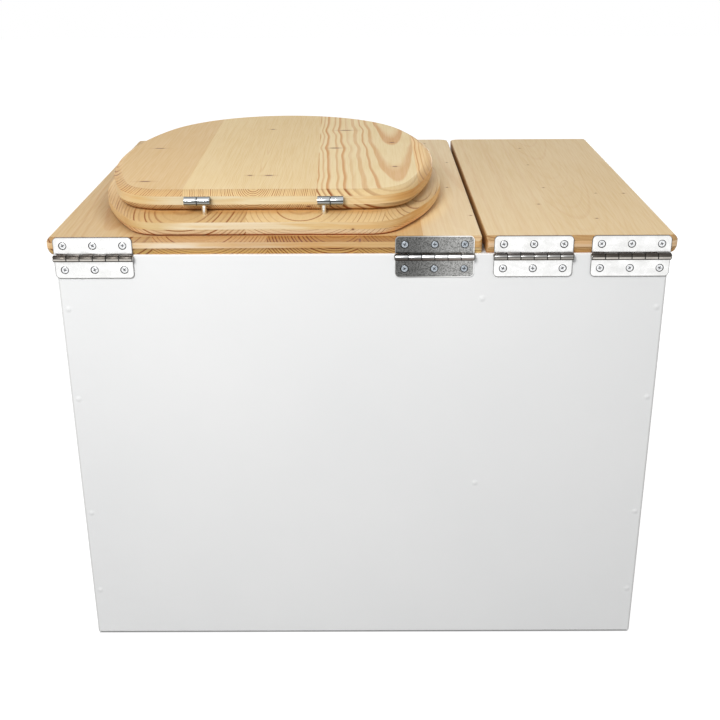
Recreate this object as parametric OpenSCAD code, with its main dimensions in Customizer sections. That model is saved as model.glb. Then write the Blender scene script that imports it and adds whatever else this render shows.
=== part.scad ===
// Composting toilet: a painted plywood box with two hinged pine boards on top.
// The wide board carries the seat ring and its lid, above a bucket.
// The narrow board covers the compartment for the litter.
// +Z is up, the front faces -Y and the hinges are at the rear, on +Y.

/* [Box] */
// Width of the plywood box
body_w = 622; // [560:1:760]
// Depth of the plywood box, from the front face to the rear face
body_d = 490; // [460:1:600]
// Height of the side, front and rear panels
panel_h = 460; // [420:1:520]
// Thickness of the plywood
panel_t = 15; // [12:0.5:20]
// Clear width of the compartment for the bucket
seat_w = 412; // [402:1:450]
// Diameter of the glides under the corners
glide_d = 20; // [14:1:30]
// Thickness of the glides
glide_t = 2; // [1.5:0.5:8]
// Distance from the box's edges to the middle of a glide
glide_inset = 15; // [15:1:40]

/* [Boards] */
// Thickness of the pine boards
board_t = 18; // [16:0.5:24]
// How far the boards stand out past the box at each side
side_overhang = 9; // [4:1:20]
// How far the boards stand out past the box at the front
front_overhang = 10; // [4:1:25]
// Gap between the two boards
board_gap = 4; // [2:0.5:8]
// Corner radius of the boards, seen from above
board_corner_r = 8; // [7.5:0.5:20]
// Width of the rounding along the boards' edges
board_round_w = 6; // [3:0.5:7]
// Height of the rounding along the boards' edges
board_round_h = 5; // [2:0.5:6]

/* [Seat ring] */
// Width of the seat ring
ring_w = 380; // [360:1:400]
// Length of the seat ring, from its rear edge to its nose
ring_l = 468; // [455:1:480]
// Thickness of the seat ring
ring_t = 20; // [16:0.5:26]
// Distance from the board's rear edge to the seat ring
ring_setback = 3; // [1:0.5:8]
// Distance from the ring's rear edge to its widest place
ring_widest = 195; // [175:1:215]
// Radius of the ring's long sides
ring_side_r = 335; // [315:1:400]
// Radius of the ring's rear corners
ring_corner_r = 40; // [30:1:70]
// Width of the opening
opening_w = 225; // [205:1:240]
// Length of the opening
opening_l = 285; // [265:1:295]
// Radius of the opening's two ends
opening_end_r = 95; // [85:1:100]
// Radius that softens the opening's edges
opening_round = 6; // [3:0.5:8]

/* [Lid] */
// Width of the lid
lid_w = 362; // [345:1:375]
// Length of the lid, from its rear edge to its nose
lid_l = 440; // [425:1:455]
// Thickness of the lid
lid_t = 20; // [16:0.5:26]
// Distance from the board's rear edge to the lid
lid_setback = 25; // [18:0.5:35]
// Distance from the lid's rear edge to its widest place
lid_widest = 183; // [165:1:200]
// Radius of the lid's long sides
lid_side_r = 425; // [380:1:520]
// Radius of the lid's rear corners
lid_corner_r = 54; // [40:1:75]
// Width of the rounding along the edges of the ring and the lid
seat_round_w = 9; // [5:0.5:11]
// Height of the rounding along the edges of the ring and the lid
seat_round_h = 6; // [3:0.5:7]
// Diameter of the bumpers under the lid
bumper_d = 12; // [8:0.5:18]
// Height of the bumpers, which is the gap between the ring and the lid
bumper_h = 1.5; // [1:0.1:4]
// Distance between the front and the rear bumpers
bumper_spacing = 200; // [150:2:220]

/* [Lid hinges] */
// Diameter of a hinge barrel
barrel_d = 9.5; // [8:0.1:11]
// Length of a hinge barrel
barrel_l = 12.5; // [10:0.5:18]
// Height of the barrels' axis above the seat ring
barrel_rise = 12.5; // [12:0.1:16]
// Gap between a barrel and the lid's rear edge
barrel_to_lid = 0.8; // [0.5:0.1:3]
// Distance between the two barrel hinges
barrel_spacing = 135; // [110:1:155]
// Diameter of the studs that hold the barrels
stud_d = 5; // [4:0.5:6]
// How deep the studs go into the wood
stud_depth = 13; // [8:0.5:14]
// Diameter of the pin inside the barrels
barrel_pin_d = 5; // [3:0.5:6]
// How deep the pin goes into each barrel
barrel_pin_depth = 8.5; // [6:0.5:9]
// Thickness of the washer between two barrels
washer_t = 1; // [0.5:0.1:2]

/* [Butt hinges] */
// Distance from a board's side edge to its hinge
hinge_edge = 8; // [6:0.5:15]
// Gap between the two hinges of the narrow board
hinge_gap = 18.5; // [10:0.5:40]
// Height of a hinge leaf, from the pin to its outer edge
leaf_h = 21.5; // [19:0.5:24]
// Thickness of the hinge steel
leaf_t = 1.5; // [1:0.1:2]
// Radius of the leaves' outer corners
leaf_corner_r = 4.5; // [1:0.5:7]
// Outer diameter of the hinge knuckles
knuckle_d = 7; // [6.5:0.1:9]
// Diameter of the hinge pin
pin_d = 4; // [3:0.1:4.5]
// Number of knuckles on a hinge
knuckles = 6; // [4:2:8]
// Distance from the board's underside down to the pin
hinge_drop = 2.5; // [2:0.1:4]
// Distance from the pin to a row of screws
leaf_screw_row = 12.7; // [12:0.1:14]
// Distance from a leaf's end to the middle of its outer screw
leaf_screw_edge = 9.7; // [8:0.1:14]

/* [Screws] */
// Diameter of the panel and hinge screws
screw_d = 4; // [3:0.5:4.5]
// Diameter of their heads
screw_head_d = 8; // [7:0.5:9]
// Length of the hinge screws
leaf_screw_l = 14; // [10:1:15]
// Length of the panel screws
panel_screw_l = 40; // [30:1:50]
// Height of the rounded top of a painted panel screw
screw_dome_h = 0.5; // [0.3:0.1:1]
// Distance from the panels' ends to the outermost screws
screw_end = 58; // [40:1:80]
// Distance from the panels' ends to the second screws
screw_second = 160; // [130:1:190]
// Distance from the panels' top to the upper screw of the partition
partition_screw_top = 48; // [40:1:80]
// Distance from the panels' bottom to the lower screw of the partition
partition_screw_low = 197; // [120:1:240]
// Distance between the screws of the floor panel
floor_screw_pitch = 160; // [100:1:200]
// Length of the screws that hold the ring
ring_screw_l = 30; // [25:1:32]
// Distance between the front and the rear screws of the ring
ring_screw_spacing = 142; // [100:1:160]

/* [Splash guard] */
// How far the opening in the board stands back from the ring's opening
opening_gap = 2; // [1:0.5:4]
// Depth of the splash guard under the board
guard_h = 80; // [65:1:85]
// Thickness of the splash guard's sheet
guard_t = 1; // [0.8:0.1:2]
// Width of the splash guard's flange
guard_flange = 16; // [13:1:20]
// Diameter of the flange screws
guard_screw_d = 3; // [2.5:0.5:3.5]
// Length of the flange screws
guard_screw_l = 12; // [8:1:15]

/* [Bucket] */
// Height of the bucket
bucket_h = 380; // [370:1:390]
// Outer diameter of the bucket's wall at its top
bucket_top_d = 340; // [335:1:350]
// Outer diameter of the bucket at its foot
bucket_foot_d = 280; // [260:1:300]
// Thickness of the bucket's wall
bucket_wall = 2.5; // [2:0.5:4]
// How far the rim stands out
rim_w = 8; // [5:1:9]
// Height of the rim's skirt
rim_h = 12; // [8:1:14]
// Distance from the bucket's top to the handle's pivot
ear_drop = 25; // [24:1:32]
// Diameter of the ears that carry the handle
ear_d = 16; // [12:1:20]

/* [Bucket handle] */
// Diameter of the handle's wire
wire_d = 4; // [3:0.5:5]
// Distance from the pivot to the middle of the grip
bail_reach = 190; // [189:1:195]
// Gap between the rim and the handle's legs
bail_gap = 8; // [6:1:10]
// Diameter of the grip
grip_d = 22; // [18:1:24]
// Length of the grip
grip_l = 96; // [80:1:110]

/* [Hidden] */
// Smoothness of the round faces
$fn = 64;
// Radial clearance of a pin in its bore
pin_fit = 0.05;
// Clearance of a screw in its hole
screw_fit = 0.1;
// Gap between two knuckles, and between a knuckle and the other leaf
knuckle_fit = 0.3;
// Gap between a washer and the barrel at each side of it
washer_fit = 0.1;
// How far a washer's edge lies inside the barrels' edges
washer_inset = 0.3;
// Gap between the handle's grip and the bucket's wall
rest_fit = 0.5;
// Overlap that makes a cut pass through a face
cut = 1;
// Overlap that joins two solids of one piece
join = 0.5;
// How far the straight steps along an outline may lie inside its arcs
outline_error = 0.12;
// Longest step along the straight part of an outline
straight_step = 20;
// Number of steps across a rounded edge
round_steps = 3;

// Places that follow from the sizes above
knuckle_r = knuckle_d / 2;
board_w = body_w + 2 * side_overhang;
board_d = body_d + front_overhang;
rear_y = (board_d - knuckle_d) / 2;
front_y = rear_y - body_d;
side_x = body_w / 2;
inner_d = body_d - 2 * panel_t;
mid_y = rear_y - body_d / 2;
panel_z = glide_t;
floor_z = panel_z + panel_t;
board_z = panel_z + panel_h;
ring_z = board_z + board_t;
lid_z = ring_z + ring_t + bumper_h;
partition_x = side_x - panel_t - seat_w - panel_t / 2;
edge_x = board_w / 2;
seat_edge_x = partition_x + board_gap / 2;
storage_edge_x = partition_x - board_gap / 2;
seat_x = (edge_x + seat_edge_x) / 2;
hinge_y = rear_y + knuckle_r;
hinge_z = board_z - hinge_drop;
hinge_w = (storage_edge_x + edge_x - 2 * hinge_edge - hinge_gap) / 2;
hinge_inset = hinge_edge + hinge_w / 2;
knuckle_l = hinge_w / knuckles;
hinge_x = [
    edge_x - hinge_inset,
    seat_edge_x + hinge_inset,
    storage_edge_x - hinge_inset,
    -edge_x + hinge_inset
];
leaf_screw_x = [for (step = [-1, 0, 1]) step * (hinge_w / 2 - leaf_screw_edge)];
barrel_y = rear_y - lid_setback + barrel_to_lid + barrel_d / 2;
barrel_z = ring_z + ring_t + barrel_rise;
ring_screw_x = (opening_w / 2 + ring_w / 2) / 2;
ring_screw_y = ring_screw_spacing / 2;
bumper_x = opening_w / 2 + bumper_d;
bumper_y = bumper_spacing / 2;
bucket_r = bucket_top_d / 2;
bucket_foot_r = bucket_foot_d / 2;
bucket_taper = (bucket_r - bucket_foot_r) / bucket_h;
bucket_z = floor_z;
pivot_z = bucket_z + bucket_h - ear_drop;
bail_r = bucket_r + rim_w + bail_gap + wire_d / 2;
bail_half = grip_l / 2 + wire_d / 2;
bail_bend_r = bail_r - bail_half;
bail_leg = bail_reach - bail_bend_r;
bail_stop = bucket_r - bucket_taper * ear_drop + grip_d / 2 + rest_fit;
bail_angle = atan(bucket_taper) + acos(bail_stop / (bail_reach * sqrt(1 + bucket_taper * bucket_taper)));

// Outlines made of arcs that meet tangentially, each [centre x, centre y, radius, start, end],
// counter-clockwise. Where two arcs don't meet, a straight edge joins them.

// D-shaped outline: straight rear edge on y = 0, nose at y = l
function d_arcs(w, l, widest, side_r, corner_r) =
    let(
        inset = side_r - w / 2,
        ahead = l - widest,
        nose_r = (side_r * side_r - inset * inset - ahead * ahead) / (2 * (side_r - ahead)),
        low = asin((corner_r - widest) / (side_r - corner_r)),
        high = acos(inset / (side_r - nose_r)),
        corner_x = (side_r - corner_r) * cos(low) - inset
    )
    [
        [corner_x, corner_r, corner_r, -90, low],
        [-inset, widest, side_r, low, high],
        [0, l - nose_r, nose_r, high, 180 - high],
        [inset, widest, side_r, 180 - high, 180 - low],
        [-corner_x, corner_r, corner_r, 180 - low, 270]
    ];

// Oval outline about the origin, with round ends
function oval_arcs(w, l, end_r) =
    let(
        reach = l / 2 - end_r,
        side_r = (w * w / 4 + reach * reach - end_r * end_r) / (w - 2 * end_r),
        inset = side_r - w / 2,
        turn = atan(reach / inset)
    )
    [
        [-inset, 0, side_r, -turn, turn],
        [0, reach, end_r, turn, 180 - turn],
        [inset, 0, side_r, 180 - turn, 180 + turn],
        [0, -reach, end_r, 180 + turn, 360 - turn]
    ];

// The same outline, moved outwards by a distance
function grown(arcs, by) = [for (a = arcs) [a[0], a[1], a[2] + by, a[3], a[4]]];

function arc_point(a, part) =
    let(angle = a[3] + (a[4] - a[3]) * part)
    [a[0] + a[2] * cos(angle), a[1] + a[2] * sin(angle)];

// Number of steps in which an arc of this radius and turn stays within a tenth of a millimetre or so
function arc_steps(a) = ceil((a[4] - a[3]) / (2 * acos(1 - outline_error / a[2])));

// Points along an outline. The number of points comes from the arcs of the model outline,
// so that outlines which are grown from one another have the same number.
function outline_points(arcs, model) = [
    for (i = [0:len(arcs) - 1])
        let(
            next = (i + 1) % len(arcs),
            steps = arc_steps(model[i]),
            end = arc_point(arcs[i], 1),
            run = arc_point(arcs[next], 0) - end,
            straight = ceil(norm(run) / straight_step - 0.1)
        )
        each [
            for (k = [0:steps - 1]) arc_point(arcs[i], k / steps),
            for (k = [0:1:straight - 1]) end + run * k / straight
        ]
];

// Distance from the origin to the outline, in a given direction
function reach_of(arcs, direction) =
    let(
        ray = [cos(direction), sin(direction)],
        hits = [
            for (a = arcs)
                let(
                    centre = [a[0], a[1]],
                    along = ray * centre,
                    far = along + sqrt(along * along - centre * centre + a[2] * a[2]),
                    hit = far * ray - centre,
                    turn = (atan2(hit[1], hit[0]) - a[3] + 720) % 360
                )
                if (turn <= a[4] - a[3] + 0.001) far
        ]
    )
    hits[0];

// Outline of the ring's opening, and of the opening in the board and the guard below it
opening_arcs = oval_arcs(opening_w, opening_l, opening_end_r);
guard_arcs = grown(opening_arcs, opening_gap);

// Radius of a rounding that is level with the face and meets the edge's flat band at an angle
function round_r(w, h) = (w * w + h * h) / (2 * h);

// Rounded edge from the underside to the top, as [distance in from the edge, height]
function edge_rows(t, w, h) =
    let(
        r = round_r(w, h),
        turn = asin(min(1, w / r)),
        low = [for (k = [0:round_steps]) [w - r * sin(turn * k / round_steps), r * (1 - cos(turn * k / round_steps))]]
    )
    [
        each low,
        for (k = [round_steps:-1:0]) [low[k][0], t - low[k][1]]
    ];

// Faces between rows of n points: the last row meets the first one where the section is closed
function row_faces(rows, n, closed) = [
    for (r = [0:rows - (closed ? 1 : 2)])
        for (i = [0:n - 1])
            let(
                a = r * n + i,
                b = r * n + (i + 1) % n,
                c = ((r + 1) % rows) * n + (i + 1) % n,
                d = ((r + 1) % rows) * n + i
            )
            each [[a, d, c], [a, c, b]]
];

// Slab with an outline of arcs and rounded edges
module rounded_slab(arcs, t, w, h) {
    rows = edge_rows(t, w, h);
    n = len(outline_points(arcs, arcs));
    points = [
        for (row = rows)
            for (p = outline_points(grown(arcs, -row[0]), arcs))
                [p[0], p[1], row[1]]
    ];
    nose = arc_steps(arcs[0]) + arc_steps(arcs[1]);
    round = [for (i = [0:n - 1]) (nose + i) % n];
    caps = [round, [for (i = [n - 1:-1:0]) (len(rows) - 1) * n + round[(i + 1) % n]]];
    polyhedron(points, [each row_faces(len(rows), n, false), each caps], convexity = 4);
}

// The same slab with an opening, which has rounded edges too and its centre on the origin
module rounded_ring(arcs, hole, t, w, h, hole_round) {
    rows = edge_rows(t, w, h);
    hole_rows = edge_rows(t, hole_round, hole_round);
    rim = outline_points(arcs, arcs);
    n = len(rim);
    directions = [for (p = rim) atan2(p[1], p[0])];
    points = [
        for (row = rows)
            for (p = outline_points(grown(arcs, -row[0]), arcs))
                [p[0], p[1], row[1]],
        for (k = [len(hole_rows) - 1:-1:0])
            for (q = directions)
                let(far = reach_of(grown(hole, hole_rows[k][0]), q))
                [far * cos(q), far * sin(q), hole_rows[k][1]]
    ];
    polyhedron(points, row_faces(len(rows) + len(hole_rows), n, true), convexity = 6);
}

// Slab with straight walls and the given outline
module plain_slab(arcs, t) {
    linear_extrude(t)
        polygon(outline_points(arcs, arcs));
}

// Board with round corners and rounded edges, built up from its corners and its straight edges
module board(x_low, x_high) {
    w = x_high - x_low;
    r = board_corner_r;
    inset = board_round_w + join / 2;
    translate([x_low, rear_y - board_d, board_z]) {
        translate([inset, inset, 0])
            cube([w - 2 * inset, board_d - 2 * inset, board_t]);
        for (turn = [0:3]) {
            corner = [[r, r], [w - r, r], [w - r, board_d - r], [r, board_d - r]][turn];
            run = (turn % 2 == 0 ? w : board_d) - 2 * r;
            translate([corner[0], corner[1], 0])
                rotate([0, 0, 180 + 90 * turn])
                    rotate_extrude(angle = 90)
                        edge_section(r);
            translate([corner[0], corner[1], 0])
                rotate([90, 0, 90 * turn - 90])
                    translate([0, 0, -run])
                        linear_extrude(run)
                            edge_section(r);
        }
    }
}

// Section of the board's rim, with its outer face at x = r
module edge_section(r) {
    rr = round_r(board_round_w, board_round_h);
    difference() {
        square([r, board_t]);
        for (end = [0, 1])
            translate([0, end * board_t])
                mirror([0, end])
                    difference() {
                        translate([r - board_round_w, -cut])
                            square([board_round_w + cut, board_round_h + cut]);
                        translate([r - board_round_w, rr])
                            circle(rr);
                    }
    }
}

// Screw with a countersunk head, its head's face on z = 0 and its tip down
module countersunk(d, head_d, l, fit = 0) {
    head_h = (head_d - d) / 2;
    flat = 0.3;
    tip_d = 0.4;
    translate([0, 0, -flat])
        cylinder(h = flat + (fit > 0 ? cut : 0), d = head_d + 2 * fit);
    translate([0, 0, -flat - head_h])
        cylinder(h = head_h, d1 = d + 2 * fit, d2 = head_d + 2 * fit);
    translate([0, 0, -l + d - fit])
        cylinder(h = l - d - flat + fit, d = d + 2 * fit);
    translate([0, 0, -l - fit])
        cylinder(h = d, d1 = tip_d, d2 = d + 2 * fit);
}

// Screw with a round-topped head, for wood that is painted over
module domed(d, head_d, l, fit = 0) {
    dome_r = round_r(head_d / 2, screw_dome_h);
    countersunk(d, head_d, l, fit);
    if (fit == 0)
        intersection() {
            translate([0, 0, screw_dome_h - dome_r])
                sphere(dome_r);
            translate([0, 0, -join / 2])
                cylinder(h = screw_dome_h + join, d = head_d);
        }
}

// Places of the panel screws on the rear panel's outer face
module at_panel_screws() {
    rows = [screw_end, screw_second, panel_h - screw_second, panel_h - screw_end];
    for (side = [-1, 1])
        for (row = rows)
            translate([side * (side_x - panel_t / 2), 0, panel_z + row])
                rotate([-90, 0, 0])
                    children();
    for (row = [partition_screw_low, panel_h - partition_screw_top])
        translate([partition_x, 0, panel_z + row])
            rotate([-90, 0, 0])
                children();
}

module rear_screws(fit = 0) {
    translate([0, rear_y, 0])
        at_panel_screws()
            domed(screw_d, screw_head_d, panel_screw_l, fit);
}

module front_screws(fit = 0) {
    translate([0, front_y, 0])
        mirror([0, 1, 0])
            at_panel_screws()
                domed(screw_d, screw_head_d, panel_screw_l, fit);
}

module side_screws(fit = 0) {
    for (side = [-1, 1])
        for (step = [-1, 0, 1])
            translate([side * side_x, mid_y + step * floor_screw_pitch, panel_z + panel_t / 2])
                rotate([0, side * 90, 0])
                    domed(screw_d, screw_head_d, panel_screw_l, fit);
}

module box_screws(fit = 0) {
    for (x = hinge_x)
        for (dx = leaf_screw_x)
            translate([x + dx, rear_y + leaf_t, hinge_z - leaf_screw_row])
                rotate([-90, 0, 0])
                    countersunk(screw_d, screw_head_d, leaf_screw_l, fit);
}

module board_screws(places, fit = 0) {
    for (x = places)
        for (dx = leaf_screw_x)
            translate([x + dx, rear_y + leaf_t, hinge_z + leaf_screw_row])
                rotate([-90, 0, 0])
                    countersunk(screw_d, screw_head_d, leaf_screw_l, fit);
}

module under_ring_screws(fit = 0) {
    for (sx = [-1, 1])
        for (sy = [-1, 1])
            translate([seat_x + sx * ring_screw_x, mid_y + sy * ring_screw_y, board_z])
                rotate([180, 0, 0])
                    countersunk(screw_d, screw_head_d, ring_screw_l, fit);
}

// Places round the splash guard's flange, in the middle of each of its arcs
module at_guard_screws() {
    line = grown(guard_arcs, (guard_t + guard_flange) / 2);
    for (p = [for (a = line) arc_point(a, 0.5)])
        translate([seat_x + p[0], mid_y + p[1], board_z - guard_t])
            rotate([180, 0, 0])
                children();
}

module guard_screws(fit = 0) {
    head_d = 2 * guard_screw_d;
    head_h = guard_screw_d / 2;
    at_guard_screws() {
        if (fit == 0)
            cylinder(h = head_h, d1 = head_d, d2 = head_d - head_h);
        translate([0, 0, -guard_screw_l - fit])
            cylinder(h = guard_screw_l + fit + (fit > 0 ? cut : 0), d = guard_screw_d + 2 * fit);
    }
}

module back_panel() {
    color("white")
        difference() {
            translate([-side_x, rear_y - panel_t, panel_z])
                cube([body_w, panel_t, panel_h]);
            rear_screws(screw_fit);
            box_screws(screw_fit);
        }
}

module front_panel() {
    color("white")
        difference() {
            translate([-side_x, front_y, panel_z])
                cube([body_w, panel_t, panel_h]);
            front_screws(screw_fit);
        }
}

module side_panel(side) {
    color("white")
        difference() {
            translate([side * (side_x - panel_t / 2) - panel_t / 2, front_y + panel_t, panel_z])
                cube([panel_t, inner_d, panel_h]);
            rear_screws(screw_fit);
            front_screws(screw_fit);
            side_screws(screw_fit);
        }
}

module partition() {
    color("white")
        difference() {
            translate([partition_x - panel_t / 2, front_y + panel_t, floor_z])
                cube([panel_t, inner_d, panel_h - panel_t]);
            rear_screws(screw_fit);
            front_screws(screw_fit);
        }
}

module floor_panel() {
    color("white")
        difference() {
            translate([-side_x + panel_t, front_y + panel_t, panel_z])
                cube([body_w - 2 * panel_t, inner_d, panel_t]);
            side_screws(screw_fit);
        }
}

module glide(side, end) {
    color("gainsboro")
        translate([side * (side_x - glide_inset), mid_y + end * (body_d / 2 - glide_inset), 0])
            cylinder(h = glide_t, d = glide_d);
}

// Hinge leaf, with its knuckles: up is 1 for the board's leaf and -1 for the box's leaf
module hinge_leaf(i, up) {
    own = up > 0 ? 1 : 0;
    color("silver")
        translate([hinge_x[i], hinge_y, hinge_z])
            difference() {
                union() {
                    leaf_plate(up, own);
                    for (k = [own:2:knuckles - 1])
                        translate([hinge_w / 2 - (k + 1) * knuckle_l + knuckle_fit / 2, 0, 0])
                            rotate([0, 90, 0])
                                cylinder(h = knuckle_l - knuckle_fit, d = knuckle_d);
                }
                translate([-hinge_w / 2 - cut, 0, 0])
                    rotate([0, 90, 0])
                        cylinder(h = hinge_w + 2 * cut, d = pin_d + 2 * pin_fit);
                for (dx = leaf_screw_x)
                    translate([dx, leaf_t - knuckle_r, up * leaf_screw_row])
                        rotate([-90, 0, 0])
                            countersunk(screw_d, screw_head_d, leaf_screw_l, screw_fit);
            }
}

// Flat of a leaf: it is cut back round the other leaf's knuckles
module leaf_plate(up, own) {
    near = knuckle_r + knuckle_fit;
    translate([0, leaf_t - knuckle_r, 0])
        rotate([90, 0, 0])
            linear_extrude(leaf_t)
                mirror([0, up > 0 ? 0 : 1]) {
                    difference() {
                        translate([-hinge_w / 2, near])
                            square([hinge_w, leaf_h - near]);
                        for (side = [0, 1])
                            mirror([side, 0])
                                translate([hinge_w / 2 - leaf_corner_r, leaf_h - leaf_corner_r])
                                    corner_cut(leaf_corner_r);
                    }
                    for (k = [own:2:knuckles - 1])
                        translate([hinge_w / 2 - (k + 1) * knuckle_l + knuckle_fit / 2, 0])
                            square([knuckle_l - knuckle_fit, near + join]);
                }
}

// What rounding takes off a corner
module corner_cut(r) {
    difference() {
        square(r + cut);
        circle(r);
    }
}

module hinge_pin(i) {
    head_h = 0.8;
    head_d = knuckle_d - 2 * knuckle_fit;
    color("silver")
        translate([hinge_x[i], hinge_y, hinge_z])
            for (side = [0, 1])
                mirror([side, 0, 0])
                    rotate([0, 90, 0]) {
                        cylinder(h = hinge_w / 2, d = pin_d);
                        translate([0, 0, hinge_w / 2])
                            cylinder(h = head_h, d1 = head_d, d2 = head_d - 2 * head_h);
                    }
}

module seat_board() {
    color("burlywood")
        difference() {
            board(seat_edge_x, edge_x);
            translate([seat_x, mid_y, board_z - cut])
                plain_slab(guard_arcs, board_t + 2 * cut);
            board_screws([hinge_x[0], hinge_x[1]], screw_fit);
            under_ring_screws(screw_fit);
            guard_screws(screw_fit);
        }
}

module storage_board() {
    color("burlywood")
        difference() {
            board(-edge_x, storage_edge_x);
            board_screws([hinge_x[2], hinge_x[3]], screw_fit);
        }
}

module seat_ring() {
    centre_y = body_d / 2 - ring_setback;
    rim = [
        for (a = d_arcs(ring_w, ring_l, ring_widest, ring_side_r, ring_corner_r))
            [a[0], a[1] - centre_y, a[2], a[3], a[4]]
    ];
    color("burlywood")
        difference() {
            translate([seat_x, mid_y, ring_z])
                rotate([0, 0, 180])
                    rounded_ring(rim, opening_arcs, ring_t, seat_round_w, seat_round_h, opening_round);
            under_ring_screws(screw_fit);
            ring_studs(screw_fit);
        }
}

module seat_lid() {
    color("burlywood")
        difference() {
            translate([seat_x, rear_y - lid_setback, lid_z])
                rotate([0, 0, 180])
                    rounded_slab(
                        d_arcs(lid_w, lid_l, lid_widest, lid_side_r, lid_corner_r),
                        lid_t, seat_round_w, seat_round_h
                    );
            lid_studs(screw_fit);
        }
}

module lid_bumpers() {
    color("gray")
        for (sx = [-1, 1])
            for (sy = [-1, 1])
                translate([seat_x + sx * bumper_x, mid_y + sy * bumper_y, ring_z + ring_t])
                    cylinder(h = bumper_h, d = bumper_d);
}

// A barrel hinge's frame: x runs from the washer towards the lid's barrel
module at_barrel(side) {
    translate([seat_x + side * barrel_spacing / 2, barrel_y, barrel_z])
        mirror([side > 0 ? 0 : 1, 0, 0])
            children();
}

// Barrel with a blind bore for the pin, from the washer outwards: way is 1 for the lid's barrel
module barrel(way) {
    start = washer_t / 2 + washer_fit;
    difference() {
        rotate([0, way * 90, 0])
            translate([0, 0, start])
                cylinder(h = barrel_l, d = barrel_d);
        rotate([0, way * 90, 0])
            translate([0, 0, start - cut])
                cylinder(h = barrel_pin_depth + cut, d = barrel_pin_d + 2 * pin_fit);
    }
}

// Middle of a barrel, measured from the washer's middle
function barrel_mid() = washer_t / 2 + washer_fit + barrel_l / 2;

// The studs start inside the barrel's wall
module ring_stud(fit = 0) {
    start = (barrel_d + barrel_pin_d) / 4;
    translate([-barrel_mid(), 0, -barrel_rise - stud_depth - fit])
        cylinder(h = barrel_rise + stud_depth + fit - start, d = stud_d + 2 * fit);
}

module lid_stud(fit = 0) {
    start = (barrel_d + barrel_pin_d) / 4;
    translate([barrel_mid(), -start, 0])
        rotate([90, 0, 0])
            cylinder(h = barrel_d / 2 + barrel_to_lid + stud_depth + fit - start, d = stud_d + 2 * fit);
}

module ring_studs(fit = 0) {
    for (side = [-1, 1])
        at_barrel(side)
            ring_stud(fit);
}

module lid_studs(fit = 0) {
    for (side = [-1, 1])
        at_barrel(side)
            lid_stud(fit);
}

module ring_barrel(side) {
    color("lightsteelblue")
        at_barrel(side) {
            barrel(-1);
            ring_stud();
        }
}

module lid_barrel(side) {
    color("lightsteelblue")
        at_barrel(side) {
            barrel(1);
            lid_stud();
        }
}

module barrel_pin(side) {
    color("silver")
        at_barrel(side)
            rotate([0, 90, 0])
                cylinder(h = 2 * barrel_pin_depth, d = barrel_pin_d, center = true);
}

module barrel_washer(side) {
    color("dimgray")
        at_barrel(side)
            rotate([0, 90, 0])
                difference() {
                    cylinder(h = washer_t, d = barrel_d - 2 * washer_inset, center = true);
                    cylinder(h = washer_t + 2 * cut, d = barrel_pin_d + 2 * pin_fit, center = true);
                }
}

module splash_guard() {
    color("silver")
        difference() {
            union() {
                translate([seat_x, mid_y, board_z - guard_t])
                    plain_slab(grown(guard_arcs, guard_flange), guard_t);
                translate([seat_x, mid_y, board_z - guard_h])
                    plain_slab(grown(guard_arcs, guard_t), guard_h);
            }
            translate([seat_x, mid_y, board_z - guard_h - cut])
                plain_slab(guard_arcs, guard_h + 2 * cut);
            guard_screws(screw_fit);
        }
}

module bucket() {
    base_t = 3;
    base_top = 6;
    rim_bevel = 1.5;
    rib_drop = 2 * ear_drop;
    rib_r = bucket_r - bucket_taper * rib_drop;
    ear_l = bail_r - wire_d / 2 - rest_fit;
    color([0.12, 0.12, 0.13])
        translate([seat_x, mid_y, bucket_z])
            difference() {
                union() {
                    rotate_extrude()
                        polygon([
                            [0, base_top - base_t],
                            [bucket_foot_r - 3 * bucket_wall, base_top - base_t],
                            [bucket_foot_r - 2 * bucket_wall, 0],
                            [bucket_foot_r, 0],
                            [bucket_r, bucket_h - join],
                            [bucket_r + rim_w, bucket_h - join],
                            [bucket_r + rim_w, bucket_h],
                            [bucket_r - bucket_wall, bucket_h],
                            [bucket_foot_r - bucket_wall + bucket_taper * base_top, base_top],
                            [0, base_top]
                        ]);
                    rotate_extrude()
                        polygon([
                            [bucket_r - bucket_wall, bucket_h],
                            [bucket_r - bucket_wall, bucket_h - bucket_wall],
                            [bucket_r + rim_w - bucket_wall, bucket_h - bucket_wall],
                            [bucket_r + rim_w - bucket_wall, bucket_h - rim_h],
                            [bucket_r + rim_w, bucket_h - rim_h],
                            [bucket_r + rim_w, bucket_h - rim_bevel],
                            [bucket_r + rim_w - rim_bevel, bucket_h]
                        ]);
                    rotate_extrude()
                        translate([rib_r - join, bucket_h - rib_drop])
                            square([rim_w / 2 + join, bucket_wall]);
                    for (side = [0, 180])
                        rotate([0, 90, side])
                            translate([-(bucket_h - ear_drop), 0, rib_r - join])
                                cylinder(h = ear_l - rib_r + join, d = ear_d);
                }
                for (side = [0, 180])
                    rotate([0, 90, side])
                        translate([-(bucket_h - ear_drop), 0, bucket_r])
                            cylinder(h = bail_r, d = wire_d + 2 * pin_fit);
            }
}

// The handle's frame: the pivot axis is x, and the grip hangs against the bucket's front
module at_bail() {
    translate([seat_x, mid_y, pivot_z])
        rotate([bail_angle, 0, 0])
            mirror([0, 1, 0])
                children();
}

module bail() {
    color("silver")
        at_bail() {
            for (side = [0, 1])
                mirror([side, 0, 0]) {
                    translate([bucket_r + 2 * pin_fit, 0, 0])
                        rotate([0, 90, 0])
                            cylinder(h = bail_r - bucket_r - 2 * pin_fit, d = wire_d);
                    translate([bail_r, 0, 0])
                        sphere(d = wire_d);
                    translate([bail_r, 0, 0])
                        rotate([-90, 0, 0])
                            cylinder(h = bail_leg, d = wire_d);
                    translate([bail_half, bail_leg, 0])
                        rotate_extrude(angle = 90)
                            translate([bail_bend_r, 0])
                                circle(d = wire_d);
                }
            translate([0, bail_reach, 0])
                rotate([0, 90, 0])
                    cylinder(h = 2 * bail_half, d = wire_d, center = true);
        }
}

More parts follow.
